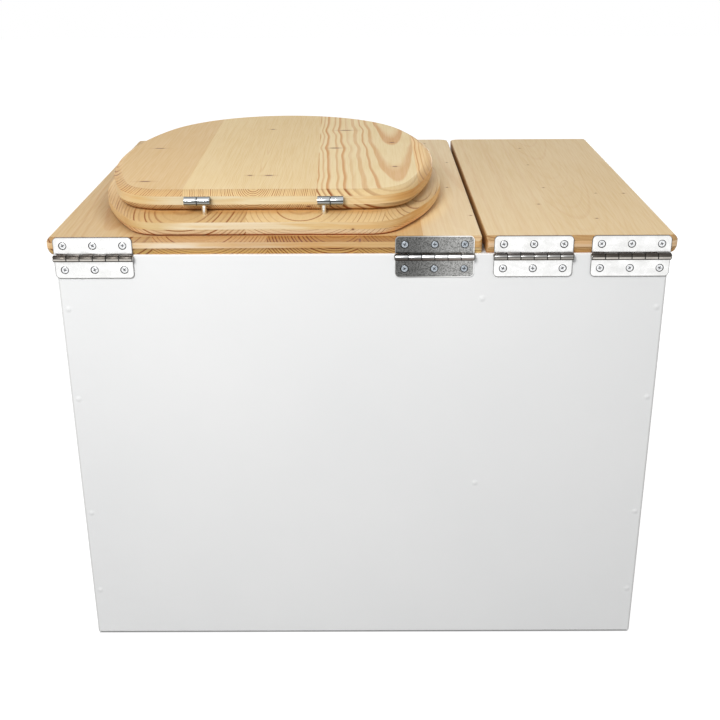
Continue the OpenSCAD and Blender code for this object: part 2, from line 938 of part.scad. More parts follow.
module bail_grip() {
    bevel = 1.5;
    color([0.12, 0.12, 0.13])
        at_bail()
            translate([0, bail_reach, 0])
                rotate([0, 90, 0])
                    rotate_extrude()
                        polygon([
                            [wire_d / 2 + pin_fit, -grip_l / 2],
                            [grip_d / 2 - bevel, -grip_l / 2],
                            [grip_d / 2, -grip_l / 2 + bevel],
                            [grip_d / 2, grip_l / 2 - bevel],
                            [grip_d / 2 - bevel, grip_l / 2],
                            [wire_d / 2 + pin_fit, grip_l / 2]
                        ]);
}

module back_panel_screws() {
    color("whitesmoke")
        rear_screws();
}

module front_panel_screws() {
    color("whitesmoke")
        front_screws();
}

module floor_screws() {
    color("whitesmoke")
        side_screws();
}

module box_leaf_screws() {
    color("silver")
        box_screws();
}

module seat_board_leaf_screws() {
    color("silver")
        board_screws([hinge_x[0], hinge_x[1]]);
}

module storage_board_leaf_screws() {
    color("silver")
        board_screws([hinge_x[2], hinge_x[3]]);
}

module seat_ring_screws() {
    color("silver")
        under_ring_screws();
}

module splash_guard_screws() {
    color("silver")
        guard_screws();
}

back_panel();
front_panel();
side_panel(1);  // seat_side_panel
side_panel(-1);  // storage_side_panel
partition();
floor_panel();
glide(1, 1);  // glide_1
glide(-1, 1);  // glide_2
glide(1, -1);  // glide_3
glide(-1, -1);  // glide_4
back_panel_screws();
front_panel_screws();
floor_screws();
hinge_leaf(0, -1);  // hinge_1_box_leaf
hinge_leaf(1, -1);  // hinge_2_box_leaf
hinge_leaf(2, -1);  // hinge_3_box_leaf
hinge_leaf(3, -1);  // hinge_4_box_leaf
hinge_pin(0);  // hinge_1_pin
hinge_pin(1);  // hinge_2_pin
hinge_pin(2);  // hinge_3_pin
hinge_pin(3);  // hinge_4_pin
box_leaf_screws();
seat_board();
hinge_leaf(0, 1);  // hinge_1_board_leaf
hinge_leaf(1, 1);  // hinge_2_board_leaf
seat_board_leaf_screws();
seat_ring();
seat_ring_screws();
splash_guard();
splash_guard_screws();
ring_barrel(1);  // lid_hinge_1_ring_barrel
ring_barrel(-1);  // lid_hinge_2_ring_barrel
seat_lid();
lid_bumpers();
lid_barrel(1);  // lid_hinge_1_lid_barrel
lid_barrel(-1);  // lid_hinge_2_lid_barrel
barrel_pin(1);  // lid_hinge_1_pin
barrel_pin(-1);  // lid_hinge_2_pin
barrel_washer(1);  // lid_hinge_1_washer
barrel_washer(-1);  // lid_hinge_2_washer
storage_board();
hinge_leaf(2, 1);  // hinge_3_board_leaf
hinge_leaf(3, 1);  // hinge_4_board_leaf
storage_board_leaf_screws();
bucket();
bail();
bail_grip();
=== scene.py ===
import math
from collections import namedtuple

import bmesh
import bpy
from mathutils import Matrix, Vector


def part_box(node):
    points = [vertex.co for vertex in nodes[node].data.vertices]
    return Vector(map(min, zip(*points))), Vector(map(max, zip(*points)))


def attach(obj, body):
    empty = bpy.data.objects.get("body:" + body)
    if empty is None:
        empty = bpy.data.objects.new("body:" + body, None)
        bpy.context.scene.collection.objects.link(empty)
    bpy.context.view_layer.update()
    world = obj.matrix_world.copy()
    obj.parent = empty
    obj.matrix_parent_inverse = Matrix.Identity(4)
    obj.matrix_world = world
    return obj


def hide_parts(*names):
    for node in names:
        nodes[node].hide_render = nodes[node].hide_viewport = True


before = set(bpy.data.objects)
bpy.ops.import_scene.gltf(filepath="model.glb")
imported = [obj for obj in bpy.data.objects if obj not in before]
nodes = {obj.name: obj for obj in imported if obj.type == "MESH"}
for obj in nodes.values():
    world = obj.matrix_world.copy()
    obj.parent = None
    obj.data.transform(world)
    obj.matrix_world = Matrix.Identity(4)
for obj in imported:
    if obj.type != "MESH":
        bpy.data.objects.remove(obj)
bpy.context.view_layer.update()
mm = 0.001


# ---- View ----------------------------------------------------------------------------------
# The toilet is seen from behind, from about 1.3 m back from its middle and 30 cm above its lid.
# The lens is a short telephoto one, held level but for a third of a degree.

camera_place = Vector((-1.2, 1310.6, 787.5)) * mm
camera_turn = 180.2
camera_down = 22.53
camera_roll = -0.29

camera_data = bpy.data.cameras.new("camera")
camera_data.sensor_width = 36
camera_data.lens = 54.7
camera = bpy.data.objects.new("camera", camera_data)
camera.matrix_world = (
    Matrix.Translation(camera_place)
    @ Matrix.Rotation(math.radians(camera_turn), 4, "Z")
    @ Matrix.Rotation(math.radians(90 - camera_down), 4, "X")
    @ Matrix.Rotation(math.radians(camera_roll), 4, "Z")
)
bpy.context.scene.collection.objects.link(camera)
bpy.context.scene.camera = camera
bpy.context.scene.view_settings.view_transform = "Standard"


# ---- Studio --------------------------------------------------------------------------------
# A pale floor that runs out into a white surround, an even sky and soft lamps. The main lamp stands
# high behind the camera's left shoulder. Three low ones light the sides away from the camera.

sky_level = 0.54
floor_size = 12.0


class Finish:
    """A material whose nodes are added one short call at a time."""

    def __init__(self, name, tree=None):
        if tree is None:
            self.material = bpy.data.materials.new(name)
            self.material.use_nodes = True
            tree = self.material.node_tree
            self.shader = tree.nodes["Principled BSDF"]
        self.tree = tree

    def join(self, socket, value):
        if isinstance(value, bpy.types.NodeSocket):
            self.tree.links.new(value, socket)
        else:
            socket.default_value = value

    def add(self, kind, inputs=None, **settings):
        made = self.tree.nodes.new(kind)
        for name, value in settings.items():
            setattr(made, name, value)
        for name, value in (inputs or {}).items():
            self.join(made.inputs[name], value)
        return made

    def surface(self, **inputs):
        for name, value in inputs.items():
            self.join(self.shader.inputs[name.replace("_", " ")], value)

    def place(self):
        return self.add("ShaderNodeTexCoord").outputs["Object"]

    def normal(self):
        return self.add("ShaderNodeTexCoord").outputs["Normal"]

    def split(self, vector):
        return self.add("ShaderNodeSeparateXYZ", {0: vector}).outputs

    def stretched(self, x, y, z):
        return self.add(
            "ShaderNodeVectorMath", {0: self.place(), 1: (x, y, z)}, operation="MULTIPLY"
        ).outputs[0]

    def math(self, operation, *values, clamp=False):
        return self.add(
            "ShaderNodeMath", dict(enumerate(values)), operation=operation, use_clamp=clamp
        ).outputs[0]

    def plus(self, first, second):
        return self.math("ADD", first, second)

    def minus(self, first, second):
        return self.math("SUBTRACT", first, second)

    def times(self, first, second, clamp=False):
        return self.math("MULTIPLY", first, second, clamp=clamp)

    def over(self, first, second, clamp=False):
        return self.math("DIVIDE", first, second, clamp=clamp)

    def distance(self, first, second):
        """The distance of a point from the origin, from its two coordinates."""
        return self.math("SQRT", self.plus(self.times(first, first), self.times(second, second)))

    def between(self, value, low, high, to_low=0.0, to_high=1.0):
        """A value that runs smoothly from to_low to to_high as the given one runs from low to high."""
        return self.add(
            "ShaderNodeMapRange",
            {"Value": value, "From Min": low, "From Max": high, "To Min": to_low, "To Max": to_high},
            interpolation_type="SMOOTHSTEP",
        ).outputs[0]

    def noise(self, place, scale=1.0, detail=2.0, roughness=0.5):
        return self.add(
            "ShaderNodeTexNoise",
            {"Vector": place, "Scale": scale, "Detail": detail, "Roughness": roughness},
        ).outputs[0]

    def ramp(self, value, stops, interpolation="LINEAR"):
        made = self.add("ShaderNodeValToRGB", {0: value})
        made.color_ramp.interpolation = interpolation
        while len(made.color_ramp.elements) < len(stops):
            made.color_ramp.elements.new(1.0)
        for element, (position, colour) in zip(made.color_ramp.elements, stops):
            element.position = position
            element.color = (*colour, 1.0)
        return made.outputs[0]

    def mix(self, amount, first, second, blend_type="MIX"):
        return self.add(
            "ShaderNodeMix", {0: amount, 6: first, 7: second}, data_type="RGBA", blend_type=blend_type
        ).outputs[2]

    def toned(self, amount, base, tone):
        """The base multiplied by a tone, which is a colour or a socket, as far as the amount says."""
        if not isinstance(tone, bpy.types.NodeSocket):
            tone = (*tone, 1)
        return self.mix(amount, base, self.mix(1.0, base, tone, "MULTIPLY"))

    def bump(self, height, depth, strength=1.0):
        self.surface(Normal=self.add(
            "ShaderNodeBump", {"Height": height, "Distance": depth, "Strength": strength}
        ).outputs[0])


def seen_directly(finish):
    """1 for the camera's rays and for rays that mirror or pass through a surface, else 0."""
    path = finish.add("ShaderNodeLightPath").outputs
    mirrored = finish.math("MAXIMUM", path["Is Glossy Ray"], path["Is Transmission Ray"])
    return finish.math("MAXIMUM", path["Is Camera Ray"], mirrored)


world = bpy.data.worlds.new("studio")
world.use_nodes = True
world.node_tree.nodes.clear()
sky = Finish("studio", world.node_tree)
sky_light = sky.add("ShaderNodeBackground", {"Color": (1, 1, 1, 1), "Strength": sky_level})
sky_white = sky.add("ShaderNodeBackground", {"Color": (1, 1, 1, 1), "Strength": 1.0})
sky_mix = sky.add("ShaderNodeMixShader", {
    0: seen_directly(sky), 1: sky_light.outputs[0], 2: sky_white.outputs[0],
})
sky.add("ShaderNodeOutputWorld", {"Surface": sky_mix.outputs[0]})
bpy.context.scene.world = world

for lamp_name, lamp_size, lamp_power, lamp_place, lamp_aim in (
    ("main_lamp", 0.55, 22.0, Vector((0.45, 1.42, 1.42)), Vector((0.02, 0.10, 0.40))),
    ("front_lamp", 0.42, 8.0, Vector((-0.5, -1.7, 0.23)), Vector((0.0, -0.25, 0.23))),
    ("left_lamp", 0.42, 6.5, Vector((1.75, 0.0, 0.23)), Vector((0.32, 0.0, 0.23))),
    ("right_lamp", 0.42, 4.5, Vector((-1.75, 0.0, 0.23)), Vector((-0.32, 0.0, 0.23))),
):
    lamp_data = bpy.data.lights.new(lamp_name, "AREA")
    lamp_data.size = lamp_size
    lamp_data.energy = lamp_power
    lamp = bpy.data.objects.new(lamp_name, lamp_data)
    lamp.location = lamp_place
    lamp.rotation_euler = (lamp_aim - lamp_place).to_track_quat("-Z", "Y").to_euler()
    bpy.context.scene.collection.objects.link(lamp)


def new_piece(name, bm, finish, body=None, replaces=()):
    """Turns a bmesh into an object of the scene, hides the parts it replaces, and hangs it on its body."""
    mesh = bpy.data.meshes.new(name)
    bm.to_mesh(mesh)
    bm.free()
    piece = bpy.data.objects.new(name, mesh)
    bpy.context.scene.collection.objects.link(piece)
    mesh.materials.append(finish.material)
    if body:
        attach(piece, body)
    if replaces:
        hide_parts(*replaces)
    return piece


foot_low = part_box("front_panel")[0]
foot_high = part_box("back_panel")[1]
floor_hidden = 2.6 * mm
floor_clear = 0.4 * mm
floor_finish = Finish("studio_floor")
floor_x, floor_y = floor_finish.split(floor_finish.place())[:2]
floor_out = floor_finish.math(
    "MAXIMUM",
    floor_finish.minus(floor_finish.math("ABSOLUTE", floor_x), foot_high.x),
    floor_finish.math(
        "MAXIMUM",
        floor_finish.minus(floor_y, foot_high.y),
        floor_finish.minus(foot_low.y, floor_y),
    ),
)
# Painted shadow: the floor's glow fades out inside the box's footprint, so a dark line shows under its
# edge.
floor_glow_painted_shade = floor_finish.between(floor_out, -floor_hidden, floor_clear, 0.12, 0.88)
floor_finish.surface(
    Base_Color=(0.24, 0.24, 0.24, 1),
    Roughness=0.9,
    Emission_Color=(1, 1, 1, 1),
    Emission_Strength=floor_finish.times(seen_directly(floor_finish), floor_glow_painted_shade),
)
floor_mesh = bmesh.new()
bmesh.ops.create_grid(floor_mesh, x_segments=1, y_segments=1, size=floor_size / 2)
new_piece("studio_floor", floor_mesh, floor_finish)


# ---- Box panels ----------------------------------------------------------------------------
# Six sheets of 15 mm plywood, screwed together through their faces and sprayed white. The paint
# rounds every edge and leaves a very fine orange-peel surface. The rounded edges and a strip at each
# end of the rear and front faces get painted shade, more at the -X end.

panel_edge_round = 1.1 * mm
paint_strip_start = 2.3 * mm
paint_strip_end = 1.3 * mm
paint = Finish("white_paint")
paint_cloud = paint.noise(paint.stretched(5, 5, 5), detail=3)
paint_peel = paint.noise(paint.stretched(420, 420, 420), detail=2)
paint_tone = paint.ramp(paint_cloud, [(0.3, (0.817, 0.822, 0.822)), (0.7, (0.847, 0.849, 0.847))])
paint_x, paint_y = [paint.math("ABSOLUTE", part) for part in paint.split(paint.normal())[:2]]
# Painted shade: the paint is greyer on the rounded edges and on strips near the box's ends.
edge_painted_shade = paint.times(
    paint.between(paint_x, 0.1, 0.5), paint.between(paint_y, 0.05, 0.3, 0.0, 0.7)
)
paint_at = paint.split(paint.place())[0]
for side, amount in ((1, 0.55), (-1, 0.85)):
    end_strip_painted_shade = paint.between(
        paint.times(paint_at, side),
        foot_high.x - paint_strip_start, foot_high.x - paint_strip_end, 0.0, amount,
    )
    end_strip_painted_shade = paint.times(end_strip_painted_shade, paint.between(paint_y, 0.5, 0.9))
    edge_painted_shade = paint.math("MAXIMUM", edge_painted_shade, end_strip_painted_shade)
paint.surface(
    Base_Color=paint.mix(edge_painted_shade, paint_tone, (0.56, 0.56, 0.55, 1)),
    Roughness=paint.between(paint_peel, 0.3, 0.7, 0.38, 0.5),
)
paint.bump(paint_peel, 0.00005, 0.5)

for panel in (
    "back_panel", "front_panel", "seat_side_panel", "storage_side_panel", "partition", "floor_panel",
):
    low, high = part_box(panel)
    panel_place = Matrix.Translation((low + high) / 2) @ Matrix.Diagonal((*(high - low), 1))
    panel_mesh = bmesh.new()
    bmesh.ops.create_cube(panel_mesh, size=1, matrix=panel_place)
    bmesh.ops.bevel(
        panel_mesh, geom=panel_mesh.edges[:], offset=panel_edge_round, segments=3,
        profile=0.5, affect="EDGES", material=-1,
    )
    new_piece(panel + "_painted", panel_mesh, paint, "box", [panel])


# ---- Painted screws ------------------------------------------------------------------------
# Countersunk screws hold the panels together. Filler and paint cover them, so each one shows
# as a low round swelling. They stand in three columns at the rear and front, and low on the sides.

swelling_r = 4.6 * mm
swelling_h = 0.6 * mm
swelling_foot = 0.3 * mm
swelling_sink = 0.02 * mm
swelling_rows = 8
screw_end = 58 * mm
screw_second = 160 * mm
partition_screw_top = 48 * mm
partition_screw_low = 197 * mm
floor_screw_pitch = 160 * mm
back_low, back_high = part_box("back_panel")
front_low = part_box("front_panel")[0]
panel_t = back_high.y - back_low.y


def lathe(bm, profile, steps):
    """Turns a profile of (radius, height) about the Z axis of the given bmesh."""
    made = [bm.verts.new((radius, 0, height)) for radius, height in profile]
    edges = [bm.edges.new(pair) for pair in zip(made, made[1:])]
    bmesh.ops.spin(
        bm, geom=made + edges, axis=(0, 0, 1), cent=(0, 0, 0), angle=math.tau, steps=steps, use_merge=True
    )
    bmesh.ops.remove_doubles(bm, verts=bm.verts, dist=1e-6)
    bmesh.ops.recalc_face_normals(bm, faces=bm.faces)


def smooth(piece, angle):
    """Shades a piece smoothly, but for its level faces and for edges that turn by more than the angle."""
    sloping = [abs(face.normal.z) < 0.9999 for face in piece.data.polygons]
    piece.data.polygons.foreach_set("use_smooth", sloping)
    piece.data.set_sharp_from_angle(angle=math.radians(angle))
    return piece


def repeated(bm, places):
    """A bmesh that holds one copy of the given one at each place, which is a matrix."""
    model = bpy.data.meshes.new("model")
    bm.to_mesh(model)
    bm.free()
    made = bmesh.new()
    for place in places:
        start = len(made.verts)
        made.from_mesh(model)
        made.verts.ensure_lookup_table()
        bmesh.ops.transform(made, matrix=place, verts=made.verts[start:])
    bpy.data.meshes.remove(model)
    return made


def facing(point, way):
    """The matrix that brings +Z onto the given way, and the origin onto the point."""
    return Matrix.Translation(point) @ Vector(way).to_track_quat("Z", "Y").to_matrix().to_4x4()


def swelling():
    """One painted-over head: a wave from its crest down to the panel, closed below the panel's face."""
    bm = bmesh.new()
    shares = [k / swelling_rows for k in range(swelling_rows + 1)]
    profile = [
        (swelling_r * share, swelling_h * (0.5 + 0.5 * math.cos(math.pi * share)) - swelling_sink)
        for share in shares
    ]
    profile += [(swelling_r, -swelling_foot), (0, -swelling_foot)]
    lathe(bm, profile, 24)
    return bm


partition_x = sum(corner.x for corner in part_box("partition")) / 2
side_screw_x = back_high.x - panel_t / 2
column_z = [
    back_low.z + screw_end, back_low.z + screw_second, back_high.z - screw_second, back_high.z - screw_end,
]
face_screws = [(side * side_screw_x, z) for side in (-1, 1) for z in column_z]
face_screws += [
    (partition_x, back_low.z + partition_screw_low), (partition_x, back_high.z - partition_screw_top),
]
mid_y = (back_high.y + front_low.y) / 2
edge_screws = [
    (side, mid_y + step * floor_screw_pitch) for side in (-1, 1) for step in (-1, 0, 1)
]
screw_rows = {
    "back_panel_screws": [facing((x, back_high.y, z), (0, 1, 0)) for x, z in face_screws],
    "front_panel_screws": [facing((x, front_low.y, z), (0, -1, 0)) for x, z in face_screws],
    "floor_screws": [
        facing((side * back_high.x, y, back_low.z + panel_t / 2), (side, 0, 0)) for side, y in edge_screws
    ],
}
for row, places in screw_rows.items():
    swellings = repeated(swelling(), places)
    smooth(new_piece(row + "_swellings", swellings, paint, "box", [row]), 40)


# ---- Glides --------------------------------------------------------------------------------
# Four thin round plastic discs nailed under the box's corners, so that its edge stays off the floor.


def moulded(name, grain, dark, bright, rough_low, rough_high, depth=0.0, detail=2.0):
    """Moulded plastic or rubber, with a fine grain between two tones and two roughnesses."""
    finish = Finish(name)
    speckle = finish.noise(finish.stretched(grain, grain, grain), detail=detail)
    finish.surface(
        Base_Color=finish.ramp(speckle, [(0.3, dark), (0.7, bright)]),
        Roughness=finish.between(speckle, 0.3, 0.7, rough_low, rough_high),
    )
    if depth:
        finish.bump(speckle, depth)
    return finish


def eased(node, finish, body, width=0.0, segments=2, angle=35):
    """A copy of a built piece with its sharp edges softened by the given width."""
    bm = bmesh.new()
    bm.from_mesh(nodes[node].data)
    bmesh.ops.remove_doubles(bm, verts=bm.verts, dist=1e-6)
    if width:
        bmesh.ops.dissolve_limit(
            bm, angle_limit=math.radians(0.5), use_dissolve_boundaries=False,
            verts=bm.verts, edges=bm.edges, delimit=set(),
        )
        sharp = [
            edge for edge in bm.edges
            if len(edge.link_faces) == 2 and edge.calc_face_angle() > math.radians(angle)
        ]
        bmesh.ops.bevel(
            bm, geom=sharp, offset=width, segments=segments, profile=0.5,
            affect="EDGES", clamp_overlap=True, material=-1,
        )
    return smooth(new_piece(node + "_eased", bm, finish, body, [node]), 30)


glide_plastic = moulded("glide_plastic", 500, (0.62, 0.62, 0.60), (0.70, 0.70, 0.68), 0.5, 0.5, 0.00003)
for number in (1, 2, 3, 4):
    eased(f"glide_{number}", glide_plastic, "box", 0.3 * mm)


# ---- Butt hinges ---------------------------------------------------------------------------
# Four pressed-steel butt hinges with six knuckles, zinc plated. One leaf is screwed to the rear
# panel and one to the board's rear edge. The second hinge's zinc is painted a dark blotchy grey,
# brightening towards -X, as a painted reflection. The knuckles' bands are painted reflections.

leaf_edge_round = 0.45 * mm
leaf_corner_r = 4.5 * mm
knuckles = 6
hinge_middles = [
    sum(corner.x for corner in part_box(f"hinge_{number}_box_leaf")) / 2 for number in (1, 2, 3, 4)
]
leaf_low, leaf_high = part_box("hinge_1_box_leaf")
leaf_half = (leaf_high.x - leaf_low.x) / 2
leaf_drop = (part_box("hinge_1_board_leaf")[1].z - leaf_low.z) / 2
knuckle_pitch = 2 * leaf_half / knuckles
axis_low, axis_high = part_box("hinge_1_pin")
axis_y = (axis_low.y + axis_high.y) / 2
axis_z = (axis_low.z + axis_high.z) / 2
knuckle_r = leaf_high.y - axis_y


def leaf_rim_painted_tone(plate, colour, rim_tone):
    """Paints a rim along the leaves' outline in the rim tone: painted shade in a dark tone, a painted
    highlight in a light one. Returns that and 1 at the joints of the knuckles.
    """
    place = plate.split(plate.place())
    middle = hinge_middles[0]
    for last, following in zip(hinge_middles, hinge_middles[1:]):
        passed = plate.math("LESS_THAN", place[0], (last + following) / 2)
        middle = plate.plus(middle, plate.times(passed, following - last))
    across = plate.minus(place[0], middle)
    reach = [
        plate.math("MAXIMUM", plate.minus(plate.math("ABSOLUTE", at), half - leaf_corner_r), 0.0)
        for at, half in ((across, leaf_half), (plate.minus(place[2], axis_z), leaf_drop))
    ]
    out = plate.distance(*reach)
    rim = plate.between(out, leaf_corner_r - 0.8 * mm, leaf_corner_r - 0.35 * mm, 0.0, 0.8)
    colour = plate.mix(rim, colour, (*rim_tone, 1))
    beat = plate.math("FRACT", plate.over(across, knuckle_pitch))
    joint = plate.math("ABSOLUTE", plate.minus(beat, 0.5))
    return colour, plate.between(joint, 0.5 - 0.055, 0.5 - 0.025, 0.0, 0.9)


def zinc(name, dark, bright, rough_low, rough_high, blotch, knuckle=None, rim_tone=(0.10, 0.095, 0.09)):
    """Zinc-plated steel, blotchy between a dark and a bright tone. Given knuckle tones, it paints the
    leaves' edges, bevels and countersinks dark as painted shade, gives them a rim in the rim tone, and
    paints reflections on the knuckle: bands of tone from its underside to its top, with painted shade
    at its ends and joints."""
    plate = Finish(name)
    cloud = plate.noise(plate.stretched(blotch, blotch, blotch), detail=5, roughness=0.65)
    grain = plate.noise(plate.stretched(900, 900, 900), detail=3, roughness=0.6)
    mixed = plate.plus(plate.times(cloud, 0.7), plate.times(grain, 0.3))
    colour = plate.ramp(mixed, [(0.38, dark), (0.58, bright)])
    if knuckle:
        y, z = plate.split(plate.place())[1:]
        across, out, up = plate.split(plate.normal())
        # Painted shade: faces that don't look straight out along Y, such as edges, bevels and countersinks,
        # are dark.
        face = plate.between(plate.math("ABSOLUTE", out), 0.7, 0.985)
        colour = plate.mix(face, (0.08, 0.075, 0.07, 1), colour)
        colour, joint = leaf_rim_painted_tone(plate, colour, rim_tone)
        from_axis = plate.distance(plate.minus(y, axis_y), plate.minus(z, axis_z))
        on_knuckle = plate.between(from_axis, knuckle_r + 0.05 * mm, knuckle_r + 0.25 * mm, 1.0, 0.0)
        # Painted reflections on the knuckle: bands of tone by how far its surface turns up or down.
        tones = plate.ramp(plate.plus(plate.times(up, 0.5), 0.5), knuckle)
        tones = plate.mix(plate.between(mixed, 0.36, 0.62, 0.25, 0.0), tones, (0.10, 0.09, 0.08, 1))
        # Painted shade at the knuckles' ends and in the joints between them.
        ends = plate.math("MAXIMUM", plate.between(plate.math("ABSOLUTE", across), 0.3, 0.9), joint)
        tones = plate.mix(ends, tones, (0.012, 0.011, 0.01, 1))
        colour = plate.mix(on_knuckle, colour, tones)
    plate.colour = colour
    plate.surface(
        Base_Color=colour,
        Metallic=1.0,
        Roughness=plate.between(mixed, 0.35, 0.65, rough_high, rough_low),
    )
    plate.bump(mixed, 0.00004, 0.6)
    return plate


# Painted reflections: the bands of tone round the knuckles, from their undersides up, one set per hinge
# look.
knuckle_reflections_hinge_3 = [
    (0.0, (0.035, 0.028, 0.022)), (0.26, (0.05, 0.04, 0.03)), (0.31, (0.34, 0.32, 0.29)),
    (0.54, (0.30, 0.28, 0.26)), (0.585, (0.09, 0.085, 0.08)), (0.655, (0.10, 0.095, 0.09)),
    (0.69, (0.46, 0.46, 0.45)), (0.79, (0.42, 0.42, 0.41)), (0.84, (0.24, 0.235, 0.23)),
    (0.90, (0.07, 0.06, 0.055)), (0.97, (0.07, 0.06, 0.055)),
]
knuckle_reflections_hinges_1_4 = [
    (0.0, (0.035, 0.028, 0.022)), (0.27, (0.06, 0.048, 0.036)), (0.33, (0.60, 0.57, 0.53)),
    (0.45, (0.66, 0.62, 0.57)), (0.54, (0.34, 0.32, 0.29)), (0.60, (0.12, 0.112, 0.10)),
    (0.66, (0.055, 0.050, 0.044)), (0.76, (0.05, 0.045, 0.039)), (0.86, (0.08, 0.07, 0.06)),
    (0.93, (0.035, 0.028, 0.022)),
]
knuckle_reflections_hinge_2 = [
    (0.0, (0.03, 0.024, 0.02)), (0.30, (0.08, 0.06, 0.05)), (0.44, (0.16, 0.15, 0.14)),
    (0.58, (0.12, 0.12, 0.115)), (0.66, (0.95, 0.96, 0.97)), (0.86, (0.90, 0.91, 0.92)),
    (0.92, (0.05, 0.045, 0.04)),
]
bright_zinc = zinc("zinc_bright", (0.80, 0.80, 0.79), (0.95, 0.95, 0.945), 0.22, 0.38, 70, knuckle_reflections_hinge_3)
zinc_hinges_1_4 = zinc("zinc_for_hinges_1_4", (0.80, 0.80, 0.79), (0.95, 0.95, 0.945), 0.22, 0.38, 70, knuckle_reflections_hinges_1_4)
dark_reflection_zinc = zinc(
    "zinc_painted_dark_reflection", (0.06, 0.06, 0.057), (0.24, 0.24, 0.235), 0.26, 0.45, 650, knuckle_reflections_hinge_2, (0.60, 0.60, 0.58)
)
# Painted reflection: the second hinge's leaves are dark and grow brighter towards -X.
hinge_2_across = dark_reflection_zinc.split(dark_reflection_zinc.place())[0]
reflection_gradient = dark_reflection_zinc.between(
    hinge_2_across, hinge_middles[1] + 0.7 * leaf_half, hinge_middles[1] - 0.8 * leaf_half, 0.70, 2.1
)
reflection_gradient_tone = dark_reflection_zinc.add(
    "ShaderNodeCombineXYZ", {0: reflection_gradient, 1: reflection_gradient, 2: reflection_gradient}
).outputs[0]
dark_reflection_zinc.surface(Base_Color=dark_reflection_zinc.toned(1.0, dark_reflection_zinc.colour, reflection_gradient_tone))
pin_steel = zinc("pin_steel", (0.16, 0.15, 0.14), (0.42, 0.41, 0.39), 0.2, 0.35, 300)

for number, board in ((1, "seat_board"), (2, "seat_board"), (3, "storage_board"), (4, "storage_board")):
    plating = {2: dark_reflection_zinc, 3: bright_zinc}.get(number, zinc_hinges_1_4)
    eased(f"hinge_{number}_box_leaf", plating, "box", leaf_edge_round)
    eased(f"hinge_{number}_board_leaf", plating, board, leaf_edge_round)
    eased(f"hinge_{number}_pin", pin_steel, "box", 0.2 * mm)


# ---- Leaf screws ---------------------------------------------------------------------------
# Countersunk wood screws with a cross recess, three to a leaf. Each head sits a little below the
# leaf's face, so the edge of the countersink shows as a dark ring round it, darkened further by the
# leaf's painted shade.

head_r = 3.3 * mm
head_sink = 0.3 * mm
head_flat = 0.93
head_steps = [(1 / head_flat, 0.12 * mm), (0.5, 1.9 * mm)]
recess_reach = 1.9 * mm
recess_half = 0.42 * mm
recess_depth = 0.95 * mm
leaf_screw_row = 12.7 * mm
leaf_screw_edge = 9.7 * mm
leaf_t = 1.5 * mm
leaf_y = back_high.y + leaf_t


def grown(bm, edges, scale, drop):
    """Pulls a copy of the edges outwards or inwards and down, and returns the copy."""
    made = bmesh.ops.extrude_edge_only(bm, edges=edges)["geom"]
    verts = [item for item in made if isinstance(item, bmesh.types.BMVert)]
    bmesh.ops.scale(bm, vec=(scale, scale, 1), verts=verts)
    bmesh.ops.translate(bm, vec=(0, 0, -drop), verts=verts)
    return [item for item in made if isinstance(item, bmesh.types.BMEdge)]


def cross_head(flat_r, steps):
    """Screw head with its flat face on z = 0 and a cross recess in it. Below the face it goes
    outwards and down by the given steps of (scale, drop)."""
    bm = bmesh.new()
    bmesh.ops.create_circle(bm, segments=32, radius=flat_r, cap_ends=True)
    for way in (Vector((1, 0, 0)), Vector((0, 1, 0))):
        for reach in (-recess_reach, -recess_half, recess_half, recess_reach):
            everything = bm.verts[:] + bm.edges[:] + bm.faces[:]
            bmesh.ops.bisect_plane(bm, geom=everything, plane_co=way * reach, plane_no=way, dist=1e-7)
    middles = {face: [abs(part) for part in face.calc_center_median().xy] for face in bm.faces}
    cross = [
        face for face, (x, y) in middles.items()
        if min(x, y) < recess_half and max(x, y) < recess_reach
    ]
    made = bmesh.ops.extrude_face_region(bm, geom=cross)["geom"]
    bmesh.ops.delete(bm, geom=cross, context="FACES")
    sunk = [item for item in made if isinstance(item, bmesh.types.BMVert)]
    bmesh.ops.scale(bm, vec=(0.5, 0.5, 1), verts=sunk)
    bmesh.ops.translate(bm, vec=(0, 0, -recess_depth), verts=sunk)
    rim = [edge for edge in bm.edges if edge.is_boundary]
    for scale, drop in steps:
        rim = grown(bm, rim, scale, drop)
    bmesh.ops.contextual_create(bm, geom=rim)
    bmesh.ops.recalc_face_normals(bm, faces=bm.faces)
    return bm


def leaf_places(hinges, part, up):
    """Places of the leaf screws above or below the given hinges' pins, turned as if driven by hand."""
    places = []
    for number in hinges:
        low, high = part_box(f"hinge_{number}_{part}")
        middle = (low.x + high.x) / 2
        reach = (high.x - low.x) / 2 - leaf_screw_edge
        z = axis_z + up * leaf_screw_row
        for step in (-1, 0, 1):
            turn = math.radians(37 * number + 61 * step + 20 * up)
            spot = facing((middle + step * reach, leaf_y - head_sink, z), (0, 1, 0))
            places.append(spot @ Matrix.Rotation(turn, 4, "Z"))
    return places


def screw_zinc(name, axis, face, inwards):
    """Zinc for screw heads whose faces lie at one place on an axis. The recess gets a painted shade that
    darkens it inwards, and heads within the second hinge's width along X take its painted dark reflection.
    """
    plate = zinc(name, (0.62, 0.63, 0.64), (0.95, 0.96, 0.97), 0.25, 0.4, 400)
    place = plate.split(plate.place())
    # Painted shade in the recess, and a painted dark reflection on heads by the second hinge.
    recess_painted_shade = plate.between(place[axis], face + inwards * 0.02 * mm, face + inwards * 0.5 * mm)
    off_reflection_hinge = plate.math("ABSOLUTE", plate.minus(place[0], hinge_middles[1]))
    on_reflection_hinge = plate.math("LESS_THAN", off_reflection_hinge, leaf_half)
    colour = plate.toned(on_reflection_hinge, plate.colour, (0.50, 0.54, 0.58))
    plate.surface(Base_Color=plate.mix(recess_painted_shade, colour, (0.07, 0.07, 0.08, 1)))
    return plate


